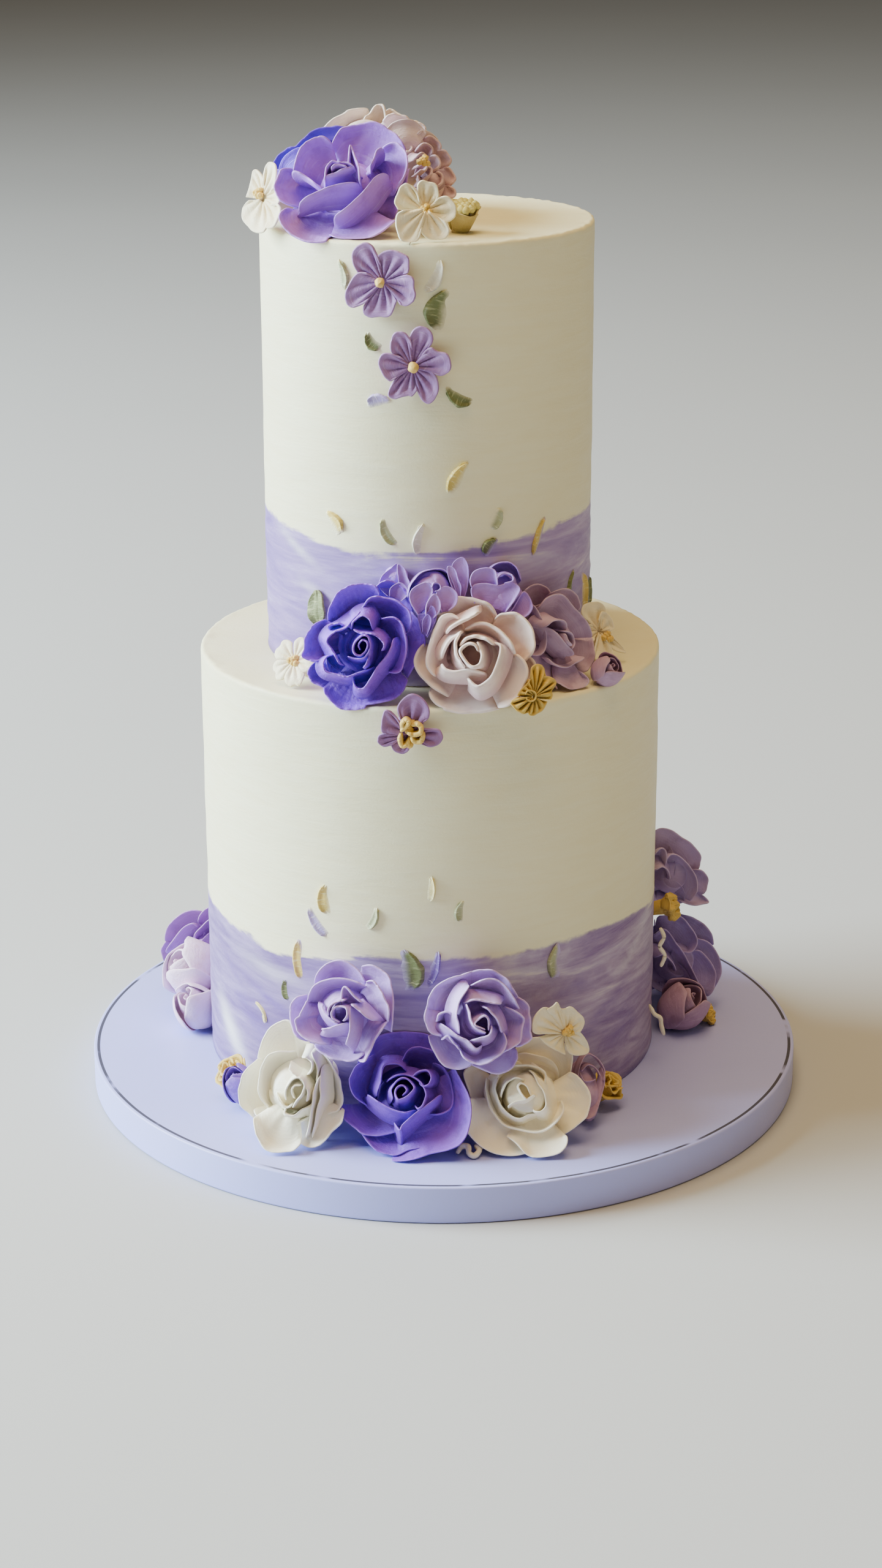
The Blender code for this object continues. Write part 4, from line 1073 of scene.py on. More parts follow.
# Roses on the bottom tier's front ledge. A crumbly deep violet one, a blush one with thick
# smooth rims, and a mauve one that looks to the right, piped as the ones below.
MIDDLE_ROSES = {
    "rose_mid_violet": ("violet", -25.9, -73.5, 180.7, 19.2, -4, 14, 21),
    "rose_mid_cream": ("blush", 10.4, -76.5, 179.0, 18.6, -5, 22, 22),
    "rose_mid_mauve": ("mauve", 39.4, -53.5, 177.3, 16.6, 36, 14, 15),
}
MIDDLE_RIMS = {
    "rose_mid_violet": ((589, 1056), (
        ("outer", -2, -2, (-53, -40, -49, -60, -39, -80, -27, -92, -8, -99, 11, -99, 24, -91, 28,
            -78)),
        ("outer", -28, -28, (19, -89, 33, -101, 51, -103, 66, -92, 76, -71, 81, -53)),
        ("outer", -22, -22, (79, -56, 92, -38, 101, -16, 97, 4, 84, 29, 71, 50)),
        ("outer", -8, -5, (-58, -43, -74, -34, -84, -20, -89, -1, -91, 14, -81, 21, -66, 22, -57,
            13)),
        ("outer", -22, -20, (-72, 24, -81, 34, -82, 47, -74, 57, -59, 64, -48, 73)),
        ("outer", -6, -2, (-59, 64, -53, 77, -40, 92, -22, 99, 1, 97, 23, 89, 51, 82, 64, 71, 72,
            52)),
        ("middle", 4, 6, (-11, -48, 3, -64, 13, -76, 31, -79, 56, -73, 75, -58, 80, -38, 72, -21)),
        ("middle", 18, 22, (29, -42, 52, -45, 64, -34, 71, -6, 68, 24, 59, 40, 41, 41)),
        ("inner", 32, 32, (-3, -56, -14, -41, -29, -28, -46, -22, -55, -8, -46, 7, -37, 22, -28,
            31)),
        ("middle", 22, 22, (-51, -25, -48, -34, -34, -36, -26, -30)),
        ("inner", 26, 34, (-43, 13, -56, 17, -61, 29, -54, 41, -34, 46, -19, 47, 1, 40, 21, 34)),
        ("inner", 38, 34, (51, -13, 48, 4, 37, 22, 24, 36, 15, 52, 6, 66, -4, 68, -12, 61, -14,
            48)),
        ("inner", 36, 38, (-17, -25, -13, -41, 1, -50, 13, -44, 18, -25)),
        ("heart", 42, 44, (-13, -28, 1, -22, 16, -21, 29, -15, 36, -4, 33, 7)),
        ("heart", 44, 50, (-21, 15, -9, 21, 6, 17, 14, 2, 11, -14, 1, -17, -10, -7, -11, 8, -2, 15,
            9, 7, 9, -5, 1, -10, -5, -3, -2, 6)),
        ("heart", 42, 46, (14, -4, 14, 14, 9, 28, 3, 35)),
    )),
    "rose_mid_cream": ((769, 1062), (
        ("outer", -18, -16, (-57, -49, -47, -64, -34, -76, -19, -83, -3, -82, 16, -77, 31, -70, 40,
            -54)),
        ("outer", -12, -10, (34, -46, 46, -56, 66, -59, 79, -54, 93, -40, 99, -22, 99, -7, 93, 6,
            82,
            16)),
        ("outer", -32, -30, (86, 6, 100, 18, 100, 38, 93, 58, 80, 75)),
        ("outer", 0, 2, (69, 4, 83, 18, 88, 35, 82, 56, 71, 76, 57, 85, 42, 89)),
        ("outer", -12, -8, (-64, 58, -63, 69, -53, 84, -33, 94, -7, 97, 21, 96, 44, 90)),
        ("outer", -8, -4, (-73, -13, -85, 4, -87, 21, -77, 40, -62, 55, -36, 71)),
        ("middle", 10, 10, (-16, -48, -31, -57, -46, -53, -55, -38, -63, -20, -69, 0, -69, 23,
            -57, 39)),
        ("inner", 28, 30, (-41, -29, -28, -39, -9, -50, 3, -57, 12, -62)),
        ("middle", 20, 22, (-12, -32, 6, -42, 28, -40, 46, -30, 61, -14, 69, 3)),
        ("inner", 36, 38, (34, -14, 46, -7, 44, 13, 36, 33, 28, 48, 16, 57, 6, 57, -2, 48, -7, 40)),
        ("inner", 34, 38, (-49, 19, -41, 30, -27, 34, -4, 32, 23, 35)),
        ("inner", 32, 34, (-47, 10, -39, -9, -25, -23, -13, -31)),
        ("heart", 42, 42, (-18, -28, -24, -14, -24, 3, -19, 16, -10, 26)),
        ("heart", 42, 42, (-19, -8, -7, -19, 6, -22, 21, -19, 35, -11)),
        ("heart", 44, 48, (9, -15, 15, -4, 18, 8, 15, 21, 6, 26, -4, 23, -12, 11, -16, -2, -7, -11,
            6, -9, 11, 0)),
    )),
    "rose_mid_mauve": ((932, 1042), (
        ("outer", -35, -30, (-72, -71, -62, -82, -47, -85, -34, -77, -26, -65)),
        ("outer", -22, -18, (-28, -69, -12, -77, 4, -75, 14, -62, 20, -44)),
        ("outer", 2, 6, (-44, -46, -36, -62, -14, -68, 6, -47, 24, -27, 40, -1)),
        ("middle", 14, 10, (-52, -56, -46, -37, -39, -17, -36, 1, -39, 18, -49, 27, -62, 25)),
        ("outer", 14, 16, (-70, 26, -60, 43, -44, 63, -27, 70, -14, 82)),
        ("outer", 30, 32, (-14, 69, -6, 76, 9, 81, 23, 76, 30, 65, 24, 53)),
        ("middle", 18, 20, (-32, 29, -26, 39, -7, 44, 13, 37, 31, 29)),
        ("outer", -5, -2, (40, -3, 38, 18, 36, 36, 28, 50, 12, 55)),
        ("inner", 34, 40, (-33, -20, -20, -7, -7, 8, 3, 18, 11, 27)),
        ("inner", 36, 40, (-35, -16, -28, -27, -12, -29, -5, -20, -3, -9)),
        ("heart", 42, 44, (-8, -12, 4, -7, 8, 8, 4, 18)),
        ("heart", 42, 46, (-7, -8, -3, 4, 5, 12)),
    )),
}
MIDDLE_SHAPES = {
    "rose_mid_violet": dict(skin=0.040, rim=0.80, ragged=0.018, crumbled=0.030),
    "rose_mid_cream": dict(skin=0.064, rim=0.90, ragged=0.004),
    "rose_mid_mauve": dict(skin=0.045, rim=0.70, ragged=0.007),
}
MIDDLE_LOOKS = {
    "rose_mid_violet": dict(
        body=(0.30, 0.10, 0.80), rim=(0.42, 0.24, 0.88), deep=(0.11, 0.03, 0.42), crumb=1.0),
    "rose_mid_cream": dict(
        body=(0.88, 0.74, 0.70), rim=(0.92, 0.82, 0.76), deep=(0.66, 0.44, 0.50), crumb=0.3, streaks=0.2),
    "rose_mid_mauve": dict(
        body=(0.56, 0.40, 0.58), rim=(0.66, 0.50, 0.66), deep=(0.28, 0.16, 0.30), crumb=0.3, streaks=0.3),
}
for name, (slot, *place) in MIDDLE_ROSES.items():
    rose = drawn_rose(name, place, MIDDLE_RIMS[name], **MIDDLE_SHAPES[name])
    hand_over(rose, piped_icing(name, **MIDDLE_LOOKS[name]), slot, name)

# Roses on the top. They lean out over the rim at the left of the top tier, the large lilac one
# foremost, with violet, blush and dusty pink ones behind it that show above and beside it.
TOP_ROSES = {
    "rose_top_lilac": ("lilac", -30.2, -34.0, 325.2, 21.0, -6, 34, 16),
    "rose_top_violet": ("violet", -40.5, -5.0, 323.6, 16.5, -12, 34, 10),
    "rose_top_blush": ("blush", -22.0, 12.0, 327.0, 19.5, -3, 22, 11),
    "rose_top_pink": ("pink", -13.0, -4.0, 332.0, 13.5, 12, 24, 9),
}
TOP_LOOKS = {
    "rose_top_lilac": dict(
        body=(0.46, 0.22, 0.78), rim=(0.60, 0.42, 0.84), deep=(0.24, 0.09, 0.48)),
    "rose_top_violet": dict(
        body=(0.15, 0.06, 0.60), rim=(0.22, 0.11, 0.68), deep=(0.08, 0.03, 0.36), streaks=0.1),
    "rose_top_blush": dict(
        body=(0.80, 0.68, 0.58), rim=(0.90, 0.84, 0.76), deep=(0.58, 0.42, 0.44)),
    "rose_top_pink": dict(body=(0.76, 0.62, 0.62), rim=(0.84, 0.72, 0.70), deep=(0.50, 0.36, 0.42)),
}
TOP_RIMS = {
    "rose_top_lilac": ((553, 282), (
        ("outer", -8, -6, (-13, -46, 3, -69, 32, -80, 62, -78, 87, -65, 105, -43)),
        ("outer", -4, 0, (-75, -6, -64, -31, -48, -50, -28, -58, -11, -51)),
        ("outer", -10, -6, (-71, -14, -88, -7, -98, 7, -100, 23, -94, 38, -82, 46, -66, 46)),
        ("middle", 14, 18, (-76, -5, -61, -1, -43, 10, -25, 21)),
        ("outer", 6, 8, (-79, 47, -92, 61, -90, 80, -73, 98, -48, 107, -23, 105, -12, 95)),
        ("outer", 12, 14, (-18, 90, 3, 103, 37, 104, 62, 93, 80, 80, 91, 67)),
        ("outer", -18, -15, (110, -14, 105, 18, 96, 43, 87, 64)),
        ("middle", 12, 16, (64, -46, 87, -50, 103, -38, 109, -17, 102, 6, 88, 16)),
        ("middle", 22, 26, (71, -42, 60, -37, 55, -24, 47, -12)),
        ("inner", 26, 34, (-69, 46, -48, 36, -23, 24, 2, 16, 35, 9)),
        ("inner", 26, 30, (-12, 64, 7, 58, 27, 41, 44, 24, 59, 5, 76, -7)),
        ("face", 36, 38, (15, -12, 18, -44, 26, -30, 32, -12, 33, 10)),
        ("heart", 40, 40, (-23, 9, -21, -7, -12, -19, 0, -18, 12, -18, 24, -12)),
        ("heart", 38, 40, (-23, 4, -8, -1, 8, -7, 23, -14)),
        ("heart", 42, 42, (-12, -7, -1, -14, 13, -11)),
    )),
    "rose_top_violet": ((530, 279), (
        ("outer", -20, -10, (-89, -11, -75, -27, -60, -36, -47, -39, -35, -51, -20, -64, 0, -70, 20,
            -73, 42, -71)),
        ("middle", 6, 10, (-79, 9, -75, -3, -62, -11, -48, -21, -36, -33, -20, -44, 0, -51, 20,
            -53)),
        ("inner", 28, 30, (-64, 17, -56, 5, -44, -3, -30, -17, -14, -27, 4, -33, 22, -31)),
        ("outer", -40, -40, (-84, 39, -93, 25, -94, 7, -89, -9)),
        ("heart", 42, 42, (-42, 17, -32, 5, -18, -7, 0, -13, 16, -7)),
    )),
    "rose_top_blush": ((627, 246), (
        ("outer", 0, 0, (-100, -34, -89, -44, -67, -58, -50, -65, -25, -68)),
        ("face", 10, 10, (-41, -24, -33, -48, -24, -60, -12, -75, -2, -74, 2, -60, 3, -32)),
        ("outer", 4, 4, (-1, -58, 10, -66, 23, -55, 36, -47, 52, -46, 61, -32)),
        ("inner", 28, 28, (-61, -30, -47, -42, -29, -48, -11, -46)),
        ("inner", 28, 28, (1, -42, 15, -43, 29, -36, 41, -28)),
    )),
    "rose_top_pink": ((660, 238), (
        ("outer", -10, -10, (-32, -42, -22, -49, -10, -50, 2, -46, 12, -38)),
        ("outer", -12, -12, (4, -40, 16, -39, 30, -32, 36, -20)),
        ("outer", -14, -14, (30, -22, 42, -16, 50, -2, 46, 12)),
        ("outer", -16, -16, (44, 8, 52, 18, 52, 30, 42, 38)),
        ("middle", 10, 10, (-22, -24, -10, -35, 4, -33, 10, -22)),
        ("middle", 12, 12, (8, -24, 20, -21, 28, -10, 24, 2)),
        ("middle", 10, 10, (24, 2, 34, 8, 36, 22, 28, 30)),
        ("inner", 24, 24, (-8, -10, 2, -20, 14, -14, 16, -2)),
        ("inner", 26, 26, (14, 0, 20, 8, 16, 20, 6, 22)),
        ("heart", 36, 40, (0, 0, 6, -4, 12, 2, 8, 9, 1, 6)),
    )),
}
TOP_SHAPES = {
    "rose_top_lilac": dict(skin=0.042, rim=0.75, ragged=0.016),
    "rose_top_violet": dict(skin=0.045, rim=0.75, ragged=0.016),
    "rose_top_blush": dict(skin=0.050, rim=0.75, ragged=0.010),
    "rose_top_pink": dict(skin=0.070, rim=0.80, ragged=0.020),
}
# The ones behind turn their drawn side to the front and their back to the far side of the cake.
for name, (slot, *place) in TOP_ROSES.items():
    rose = drawn_rose(name, place, TOP_RIMS[name], **TOP_SHAPES[name])
    if name != "rose_top_lilac":
        x, y, z, radius, azimuth, elevation, depth = place
        far_side = piped_rose(name + "_far", x, y + 0.2 * radius, z - 0.25 * radius, 0.86 * radius,
                              azimuth + 180, elevation, 0.5 * radius)
        rose = joined([rose, far_side])
    hand_over(rose, piped_icing(name, **TOP_LOOKS[name]), slot, name)

# Roses at the sides of the board. They stand against the bottom tier, turned outwards, one above
# another at the right, and the two white ones behind them close the row towards the back.
SIDE_ROSES = {
    "rose_left_lilac": ("lilac", -89.0, 40.0, 28.5, 14.0, -112, 25, 16),
    "rose_left_white": ("ivory", -67.5, 69.0, 28.6, 15.5, -137, 24, 16),
    "rose_right_mauve": ("mauve", 84.0, 31.0, 64.0, 13.0, 108, 15, 16),
    "rose_right_deep": ("mauve", 87.0, 29.0, 28.6, 14.5, 104, 20, 17),
    "rose_right_white": ("ivory", 64.0, 60.0, 28.6, 15.5, 136, 24, 16),
}
SIDE_LOOKS = {
    # rose_left_lilac is coloured much darker than the other lilac roses: painted shade, for the shade
    # that falls on it.
    "rose_left_lilac": dict(
        body=(0.40, 0.19, 0.52), rim=(0.52, 0.32, 0.62), deep=(0.24, 0.10, 0.36)),
    "rose_left_white": dict(
        body=(0.86, 0.80, 0.58), rim=(0.93, 0.89, 0.74), deep=(0.70, 0.58, 0.34)),
    "rose_right_mauve": dict(
        body=(0.50, 0.38, 0.66), rim=(0.60, 0.48, 0.72), deep=(0.32, 0.22, 0.42), streaks=0.2),
    "rose_right_deep": dict(
        body=(0.44, 0.34, 0.70), rim=(0.54, 0.44, 0.78), deep=(0.28, 0.19, 0.44), streaks=0.2),
    "rose_right_white": dict(
        body=(0.84, 0.77, 0.54), rim=(0.92, 0.86, 0.68), deep=(0.66, 0.52, 0.30)),
}
# Where the front of a rose shows past the cake's edge, the petals there are drawn too.
SIDE_FRONTS = {   # x, y, z, radius (mm), azimuth, elevation, depth of the stub (mm)
    "rose_left_lilac": (-88.0, 31.0, 33.0, 15.5, -14, 12, 14),
    "rose_right_mauve": (85.0, 16.0, 66.0, 14.8, 16, 8, 10),
    "rose_right_deep": (87.5, 14.0, 33.0, 16.5, 16, 12, 10),
}
SIDE_RIMS = {
    "rose_left_lilac": ((342, 1566), (
        ("outer", -10, -5, (-73, -26, -66, -52, -47, -71, -26, -77, -11, -72)),
        ("outer", 0, 5, (-20, -54, -15, -68, -4, -80, 7, -82, 16, -74)),
        ("middle", 10, 16, (-72, -7, -64, -25, -44, -47, -28, -56, -22, -48)),
        ("middle", 20, 26, (-26, -25, -23, -37, -12, -52, 1, -63, 12, -64)),
        ("outer", -20, -20, (-74, 6, -78, -10, -74, -22, -66, -30)),
        ("inner", 34, 34, (-36, -10, -30, -20, -20, -26, -8, -28)),
    )),
    "rose_right_mauve": ((1078, 1444), (
        ("outer", -14, -10, (-8, -82, 2, -88, 17, -86, 36, -73, 52, -63, 64, -45, 65, -32, 59,
            -20)),
        ("outer", -6, -6, (54, -22, 67, -21, 76, -8, 74, 7, 68, 18)),
        ("middle", 14, 18, (6, -24, 11, -38, 19, -47, 34, -42, 50, -26, 59, -7, 59, 13, 52, 30)),
        ("outer", -10, -10, (30, 26, 50, 33, 69, 32, 77, 27, 68, 17)),
        ("middle", 26, 30, (-6, -44, -2, -54, 7, -56, 11, -44, 10, -24)),
        ("inner", 40, 40, (-6, -20, 4, -28, 14, -20, 18, -4)),
    )),
    "rose_right_deep": ((1092, 1598), (
        ("outer", -20, -20, (20, -101, 38, -97, 57, -86, 69, -70, 76, -52)),
        ("outer", -14, -14, (42, -62, 60, -59, 73, -48, 83, -27, 84, -5, 76, 17)),
        ("outer", -6, -6, (36, -41, 49, -43, 65, -27, 75, -8, 73, 13, 65, 30)),
        ("middle", 10, 10, (-9, -98, 12, -101, 28, -92, 41, -75, 45, -56, 36, -41, 20, -42)),
        ("middle", 26, 20, (-16, -68, -5, -78, 12, -56, 28, -32, 41, -5, 55, 20)),
        ("inner", 38, 38, (-20, -32, -8, -38, 6, -26, 16, -8)),
    )),
}
for name, (slot, *place) in SIDE_ROSES.items():
    rose = piped_rose(name, *place)
    if name in SIDE_FRONTS:
        front = drawn_rose(name + "_front", SIDE_FRONTS[name], SIDE_RIMS[name], skin=0.050,
                           ragged=0.004)
        rose = joined([rose, front])
    hand_over(rose, piped_icing(name, **SIDE_LOOKS[name]), slot, name)

# Buds. Ribbons of buttercream wrapped into a cup that is still nearly shut, pushed into the gaps
# between the roses. The mouth shows the inner wrap and a dark hollow.
BUD_CELLS = (20, 8)
# name: slot, x, y, z, radius, half its length (mm), azimuth and elevation that it faces
BUDS = {
    "bud_mid_a": ("lilac", -3.0, -64.0, 197.0, 8.0, 8.5, 10, 30),
    "bud_mid_c": ("lilac", 18.4, -60.8, 195.5, 9.2, 8.5, 5, 50),
    "bud_mid_b": ("lilac", 5.4, -60.4, 201.0, 4.6, 7.5, 0, 70),
    "bud_mid_left": ("lilac", -15.6, -60.2, 200.8, 5.6, 6.0, -5, 50),
    "bud_mid_low": ("lilac", -4.9, -71.5, 189.5, 3.8, 7.5, -10, 65),
    "bud_mid_mauve": ("mauve", 54.5, -52.5, 166.0, 5.2, 5.0, 45, 40),
    "bud_low_left": ("lilac", -69.5, -65.5, 21.5, 5.8, 9.0, -40, 55),
    "bud_low_right": ("mauve", 48.6, -79.5, 25.4, 6.8, 14.0, 35, 50),
    "bud_left": ("pink", -90.5, 1.5, 22.0, 8.2, 9.0, -45, 50),
    "bud_left_pale": ("pink", -92.5, 16.0, 30.5, 10.5, 10.0, -70, 35),
    "bud_right": ("mauve", 87.3, -0.5, 22.3, 8.6, 10.0, 45, 50),
}
BUD_LOOKS = {
    "lilac": dict(body=(0.46, 0.27, 0.78), rim=(0.50, 0.31, 0.80), deep=(0.26, 0.12, 0.48)),
    "mauve": dict(
        body=(0.46, 0.29, 0.46), rim=(0.62, 0.46, 0.60), deep=(0.24, 0.13, 0.24), crumb=0.3),
    "pink": dict(body=(0.84, 0.64, 0.86), rim=(0.92, 0.78, 0.86), deep=(0.74, 0.50, 0.56)),
    "low_violet": dict(body=(0.26, 0.12, 0.58), rim=(0.46, 0.32, 0.76), deep=(0.13, 0.05, 0.32)),
}


def piped_bud(name, x, y, z, radius, half_length, azimuth, elevation):
    """A closed bud of three outer and two inner wraps."""
    deselect()
    chance = random.Random(name)
    size = radius * MM
    tall = half_length / radius
    turn = chance.uniform(0, 2 * math.pi)
    outer = ((0.30, -tall), (1.20, -0.85 * tall), (1.20, 0.35 * tall), (0.44, 1.0 * tall))
    inner = ((0.20, -0.6 * tall), (0.76, -0.4 * tall), (0.72, 0.4 * tall), (0.26, 0.94 * tall))
    parts = [spiral_heart(size, turn, 0.9, 0.03, 0.14, -0.5 * tall, 0.80 * tall,
                          chance.random() * 9, BUD_CELLS)]
    for row, (count, half_angle, straight, profile) in enumerate(
            ((2, 1.60, 0.0, inner), (3, 1.12, 0.25, outer))):
        for index in range(count):
            centre = turn + row * 0.9 + 2 * math.pi * index / count
            parts.append(ribbon_petal(
                size, centre, half_angle, 0.12, 0.22 * chance.uniform(0.6, 1.5), 0.03, profile,
                chance.random() * 20, BUD_CELLS, 0.07 * chance.uniform(0.2, 2.0), 0.02,
                straight=straight))
    made = one_flower(name + "_piped", parts, 0.11 * radius, (x, y, z, azimuth, elevation))
    keep_on_cake(made)
    return made


# The buds in front: the azimuth and elevation that they face, and the body inside the wraps as
# its width, its height and how far back it sits, in shares of the radius. Then the wraps.
BUD_TURNS = {
    "bud_mid_a": (10, 30, 0.84, 0.96, 0.62), "bud_mid_c": (5, 28, 0.86, 0.80, 0.62),
    "bud_mid_b": (0, 18, 0.50, 0.90, 0.90), "bud_mid_left": (-5, 20, 0.66, 0.66, 0.80),
    "bud_mid_low": (-5, 20, 0.50, 0.85, 0.85), "bud_low_right": (25, 28, 0.76, 1.50, 0.62),
}
BUD_RIMS = {
    "bud_mid_a": ((712, 958), (
        ("cup", 20, 20, (-42, 14, -40, 0, -32, -13, -17, -25, 6, -28, 19, -21, 27, -5, 34, 10)),
        ("face", 40, 40, (-28, 46, -41, 26, -42, 10, -34, 0, -17, -8, -7, -3, -6, 12, -15, 34)),
        ("face", 44, 44, (10, 40, 2, 22, 1, 10, 10, 0, 25, 1, 35, 14, 32, 28, 20, 38)),
        ("face", 52, 52, (-16, 46, -15, 28, -3, 11, 6, 20, 7, 36, -4, 50)),
        ("ring", 50, 50, (-6, 0, -2, -7, 6, -5, 7, 3, -1, 6)),
    )),
    "bud_mid_c": ((824, 943), (
        ("cup", 10, 10, (-24, -13, -12, -21, 5, -23, 18, -16, 24, -3)),
        ("face", 44, 44, (-53, 15, -56, 3, -49, -10, -34, -16, -18, -14, -12, -3, -11, 11)),
        ("ring", 46, 46, (-12, 1, -2, -7, 10, -5, 13, 4, 0, 8)),
        ("face", 36, 36, (-48, 41, -54, 23, -50, 12, -32, 9, -7, 12, 9, 6, 24, 16, 18, 33, 2, 55)),
        ("face", 20, 20, (2, 61, 14, 49, 29, 23, 40, 31, 45, 49, 36, 62, 16, 67)),
    )),
    "bud_mid_b": ((748, 950), (
        ("face", 20, 20, (0, 24, -6, -5, -10, -26, -1, -38, 9, -40, 16, -28, 17, -9, 14, 12, 9,
            28)),
        ("face", 42, 42, (-2, 24, -13, 0, -18, -22, -12, -26, -4, -19, 0, -4, 5, 8, 3, 26)),
    )),
    "bud_mid_left": ((650, 955), (
        ("face", 10, 10, (-16, 19, -31, 3, -27, -14, -12, -27, -2, -35, 4, -25, 2, -5, -6, 13)),
        ("face", 30, 30, (2, 19, 1, -5, -1, -33, 9, -29, 15, -12, 19, 2, 14, 19)),
        ("face", 46, 46, (-14, 19, -12, 5, 2, -4, 12, 2, 16, 15, 4, 27)),
    )),
    "bud_mid_low": ((698, 1010), (
        ("face", 20, 20, (-10, 24, -15, 2, -14, -7, -1, -9, 6, -21, 13, -15, 14, 0, 7, 16, -1, 31)),
        ("face", 44, 44, (-8, 22, -8, 4, 0, -7, 6, 0, 4, 14, -2, 28)),
    )),
    "bud_low_right": ((962, 1753), (
        ("ring", 30, 30, (-19, 15, -15, -8, -8, -26, 2, -32, 16, -22, 26, -5, 24, 11)),
        ("bowl", 42, 42, (-13, -4, -6, 11, 14, 7)),
        ("face", 20, 20, (21, -11, 26, 12, 19, 42, 9, 67, -2, 74)),
        ("ring", 38, 40, (-11, -5, 0, -14, 12, -9, 19, 4)),
    )),
}
HANGS.update({
    "cup": (0.05, 1.20, 0.34, 0.04, 0.30),
    "bowl": (-0.10, 0.80, 0.16, 0.03, 0.24),
    "ring": (-0.16, 0.46, 0.02, 0.02, 0.00),
})


def drawn_bud(name, x, y, z, radius):
    """A bud that is a closed body inside wraps whose rims are drawn."""
    deselect()
    chance = random.Random(name)
    heart, petals = BUD_RIMS[name]
    turn, tilt, wide, high, back = BUD_TURNS[name]
    parts = [drawn_petal((x, y, z, radius, turn, tilt), heart, 0.1, *petal, chance.random() * 20,
                         cells=(5, 6), ragged=0.018, rim=0.6) for petal in petals]
    place = (x, y, z, turn, tilt)
    made = one_flower(name + "_piped", parts, 0.08 * radius, place)
    rest_on_tiers(made)
    deselect()
    bpy.ops.mesh.primitive_uv_sphere_add(segments=84, ring_count=36, radius=radius * MM)
    body = bpy.context.object
    for vertex in body.data.vertices:
        spot = vertex.co / (radius * MM)
        lump = 0.92 + 0.08 * noise.noise(spot * 1.4 + Vector((x, y, 0.0)))
        wrap = (math.atan2(spot.y, spot.x) + x + 1.7 * spot.z) * 3 / (2 * math.pi) % 1
        lump += 0.15 * min(wrap, 8 * (1 - wrap)) * (1 - spot.z ** 4)
        vertex.co = Vector((spot.x * lump * wide, spot.y * lump * high,
                            spot.z * lump * 0.9 - back)) * radius * MM
    set_in_place(body, *place)
    joined([made, body])
    keep_on_cake(made)
    return made


for name, (slot, *place) in BUDS.items():
    look = BUD_LOOKS["low_violet" if name in ("bud_low_left", "bud_mid_low") else slot]
    bud = drawn_bud(name, *place[:4]) if name in BUD_RIMS else piped_bud(name, *place)
    hand_over(bud, piped_icing(name, **look), slot, name)

# Small flowers. Flat lilac and white blossoms, each petal one fan of the nozzle that leaves fine
# ribs, and a pink one like a small rose, with a little yellow buttercream in the middle.
# name: slot, x, y, z, radius (mm), azimuth and elevation that it faces, depth of the stub (mm)
BLOSSOMS = {
    "flower_side_upper": ("lilac", -19.2, -55.6, 296.0, 10.8, -14.6, 0, 3),
    "flower_side_lower": ("lilac", -9.1, -57.6, 269.3, 10.8, -4.4, 0, 3),
    "flower_mid_violet": ("lilac", -11.0, -81.6, 156.6, 10.6, -4.7, 2, 3),
    "flower_low_white": ("ivory", 41.0, -80.5, 48.0, 9.4, 28, 12, 14),
    "flower_top_white_left": ("ivory", -58.3, -20.5, 318.6, 10.6, -50, 24, 11),
    "flower_top_white_right": ("ivory", -5.6, -44.0, 316.8, 9.8, 4, 14, 9),
    "flower_top_pink": ("pink", -1.5, -14.0, 321.5, 11.5, 22, 24, 12),
    "flower_mid_white_left": ("ivory", -49.0, -52.0, 169.4, 8.4, -34, 30, 9),
    "flower_mid_white_right": ("ivory", 55.0, -28.0, 170.2, 9.4, 30, 24, 9),
}
BLOSSOM_LOOKS = {
    "lilac": dict(
        body=(0.36, 0.19, 0.44), rim=(0.60, 0.46, 0.66), deep=(0.21, 0.10, 0.29), start=0.95, crumb=0.4),
    "violet": dict(
        body=(0.30, 0.15, 0.36), rim=(0.44, 0.29, 0.50), deep=(0.17, 0.08, 0.24), start=0.96, crumb=0.5),
    "ivory": dict(
        body=(0.88, 0.80, 0.57), rim=(0.94, 0.89, 0.72), deep=(0.76, 0.63, 0.38), crumb=0.4),
    "pink": dict(
        body=(0.58, 0.40, 0.46), rim=(0.76, 0.60, 0.62), deep=(0.36, 0.22, 0.30), crumb=0.4),
}
BLOSSOM_TURN = math.radians(75)
BEAD_YELLOW = dict(
    body=(0.78, 0.54, 0.14), rim=(0.88, 0.72, 0.36), deep=(0.60, 0.38, 0.08), crumb=0.5)


def piped_blossom(name, x, y, z, radius, azimuth, elevation, depth):
    """Five fanned petals, each with ribs and a dip in its edge, on a short stub."""
    deselect()
    chance = random.Random(name)
    size = radius * MM
    parts = []
    for index in range(5):
        centre = BLOSSOM_TURN + 2 * math.pi * index / 5 + chance.uniform(-0.06, 0.06)
        reach = 1.04 + chance.uniform(-0.08, 0.06)
        lip = 0.08 + chance.uniform(-0.04, 0.05)
        profile = ((0.06, 0.02), (0.40, 0.10), (0.72, 0.20), (reach, lip))
        parts.append(ribbon_petal(
            size, centre, 0.60 + chance.uniform(-0.04, 0.04), 0.03, 0.30, 0.02, profile,
            chance.random() * 20, (26, 9), 0.05, 0.02, notch=0.12, folds=0.035))
    place = (x, y, z, azimuth, elevation)
    made = one_flower(name + "_piped", parts, 0.13 * radius, place)
    points = ((0.36, -depth / radius), (0.42, -0.5 * depth / radius), (0.30, 0.02))
    return on_stub(made, size, points, 1.0, place)


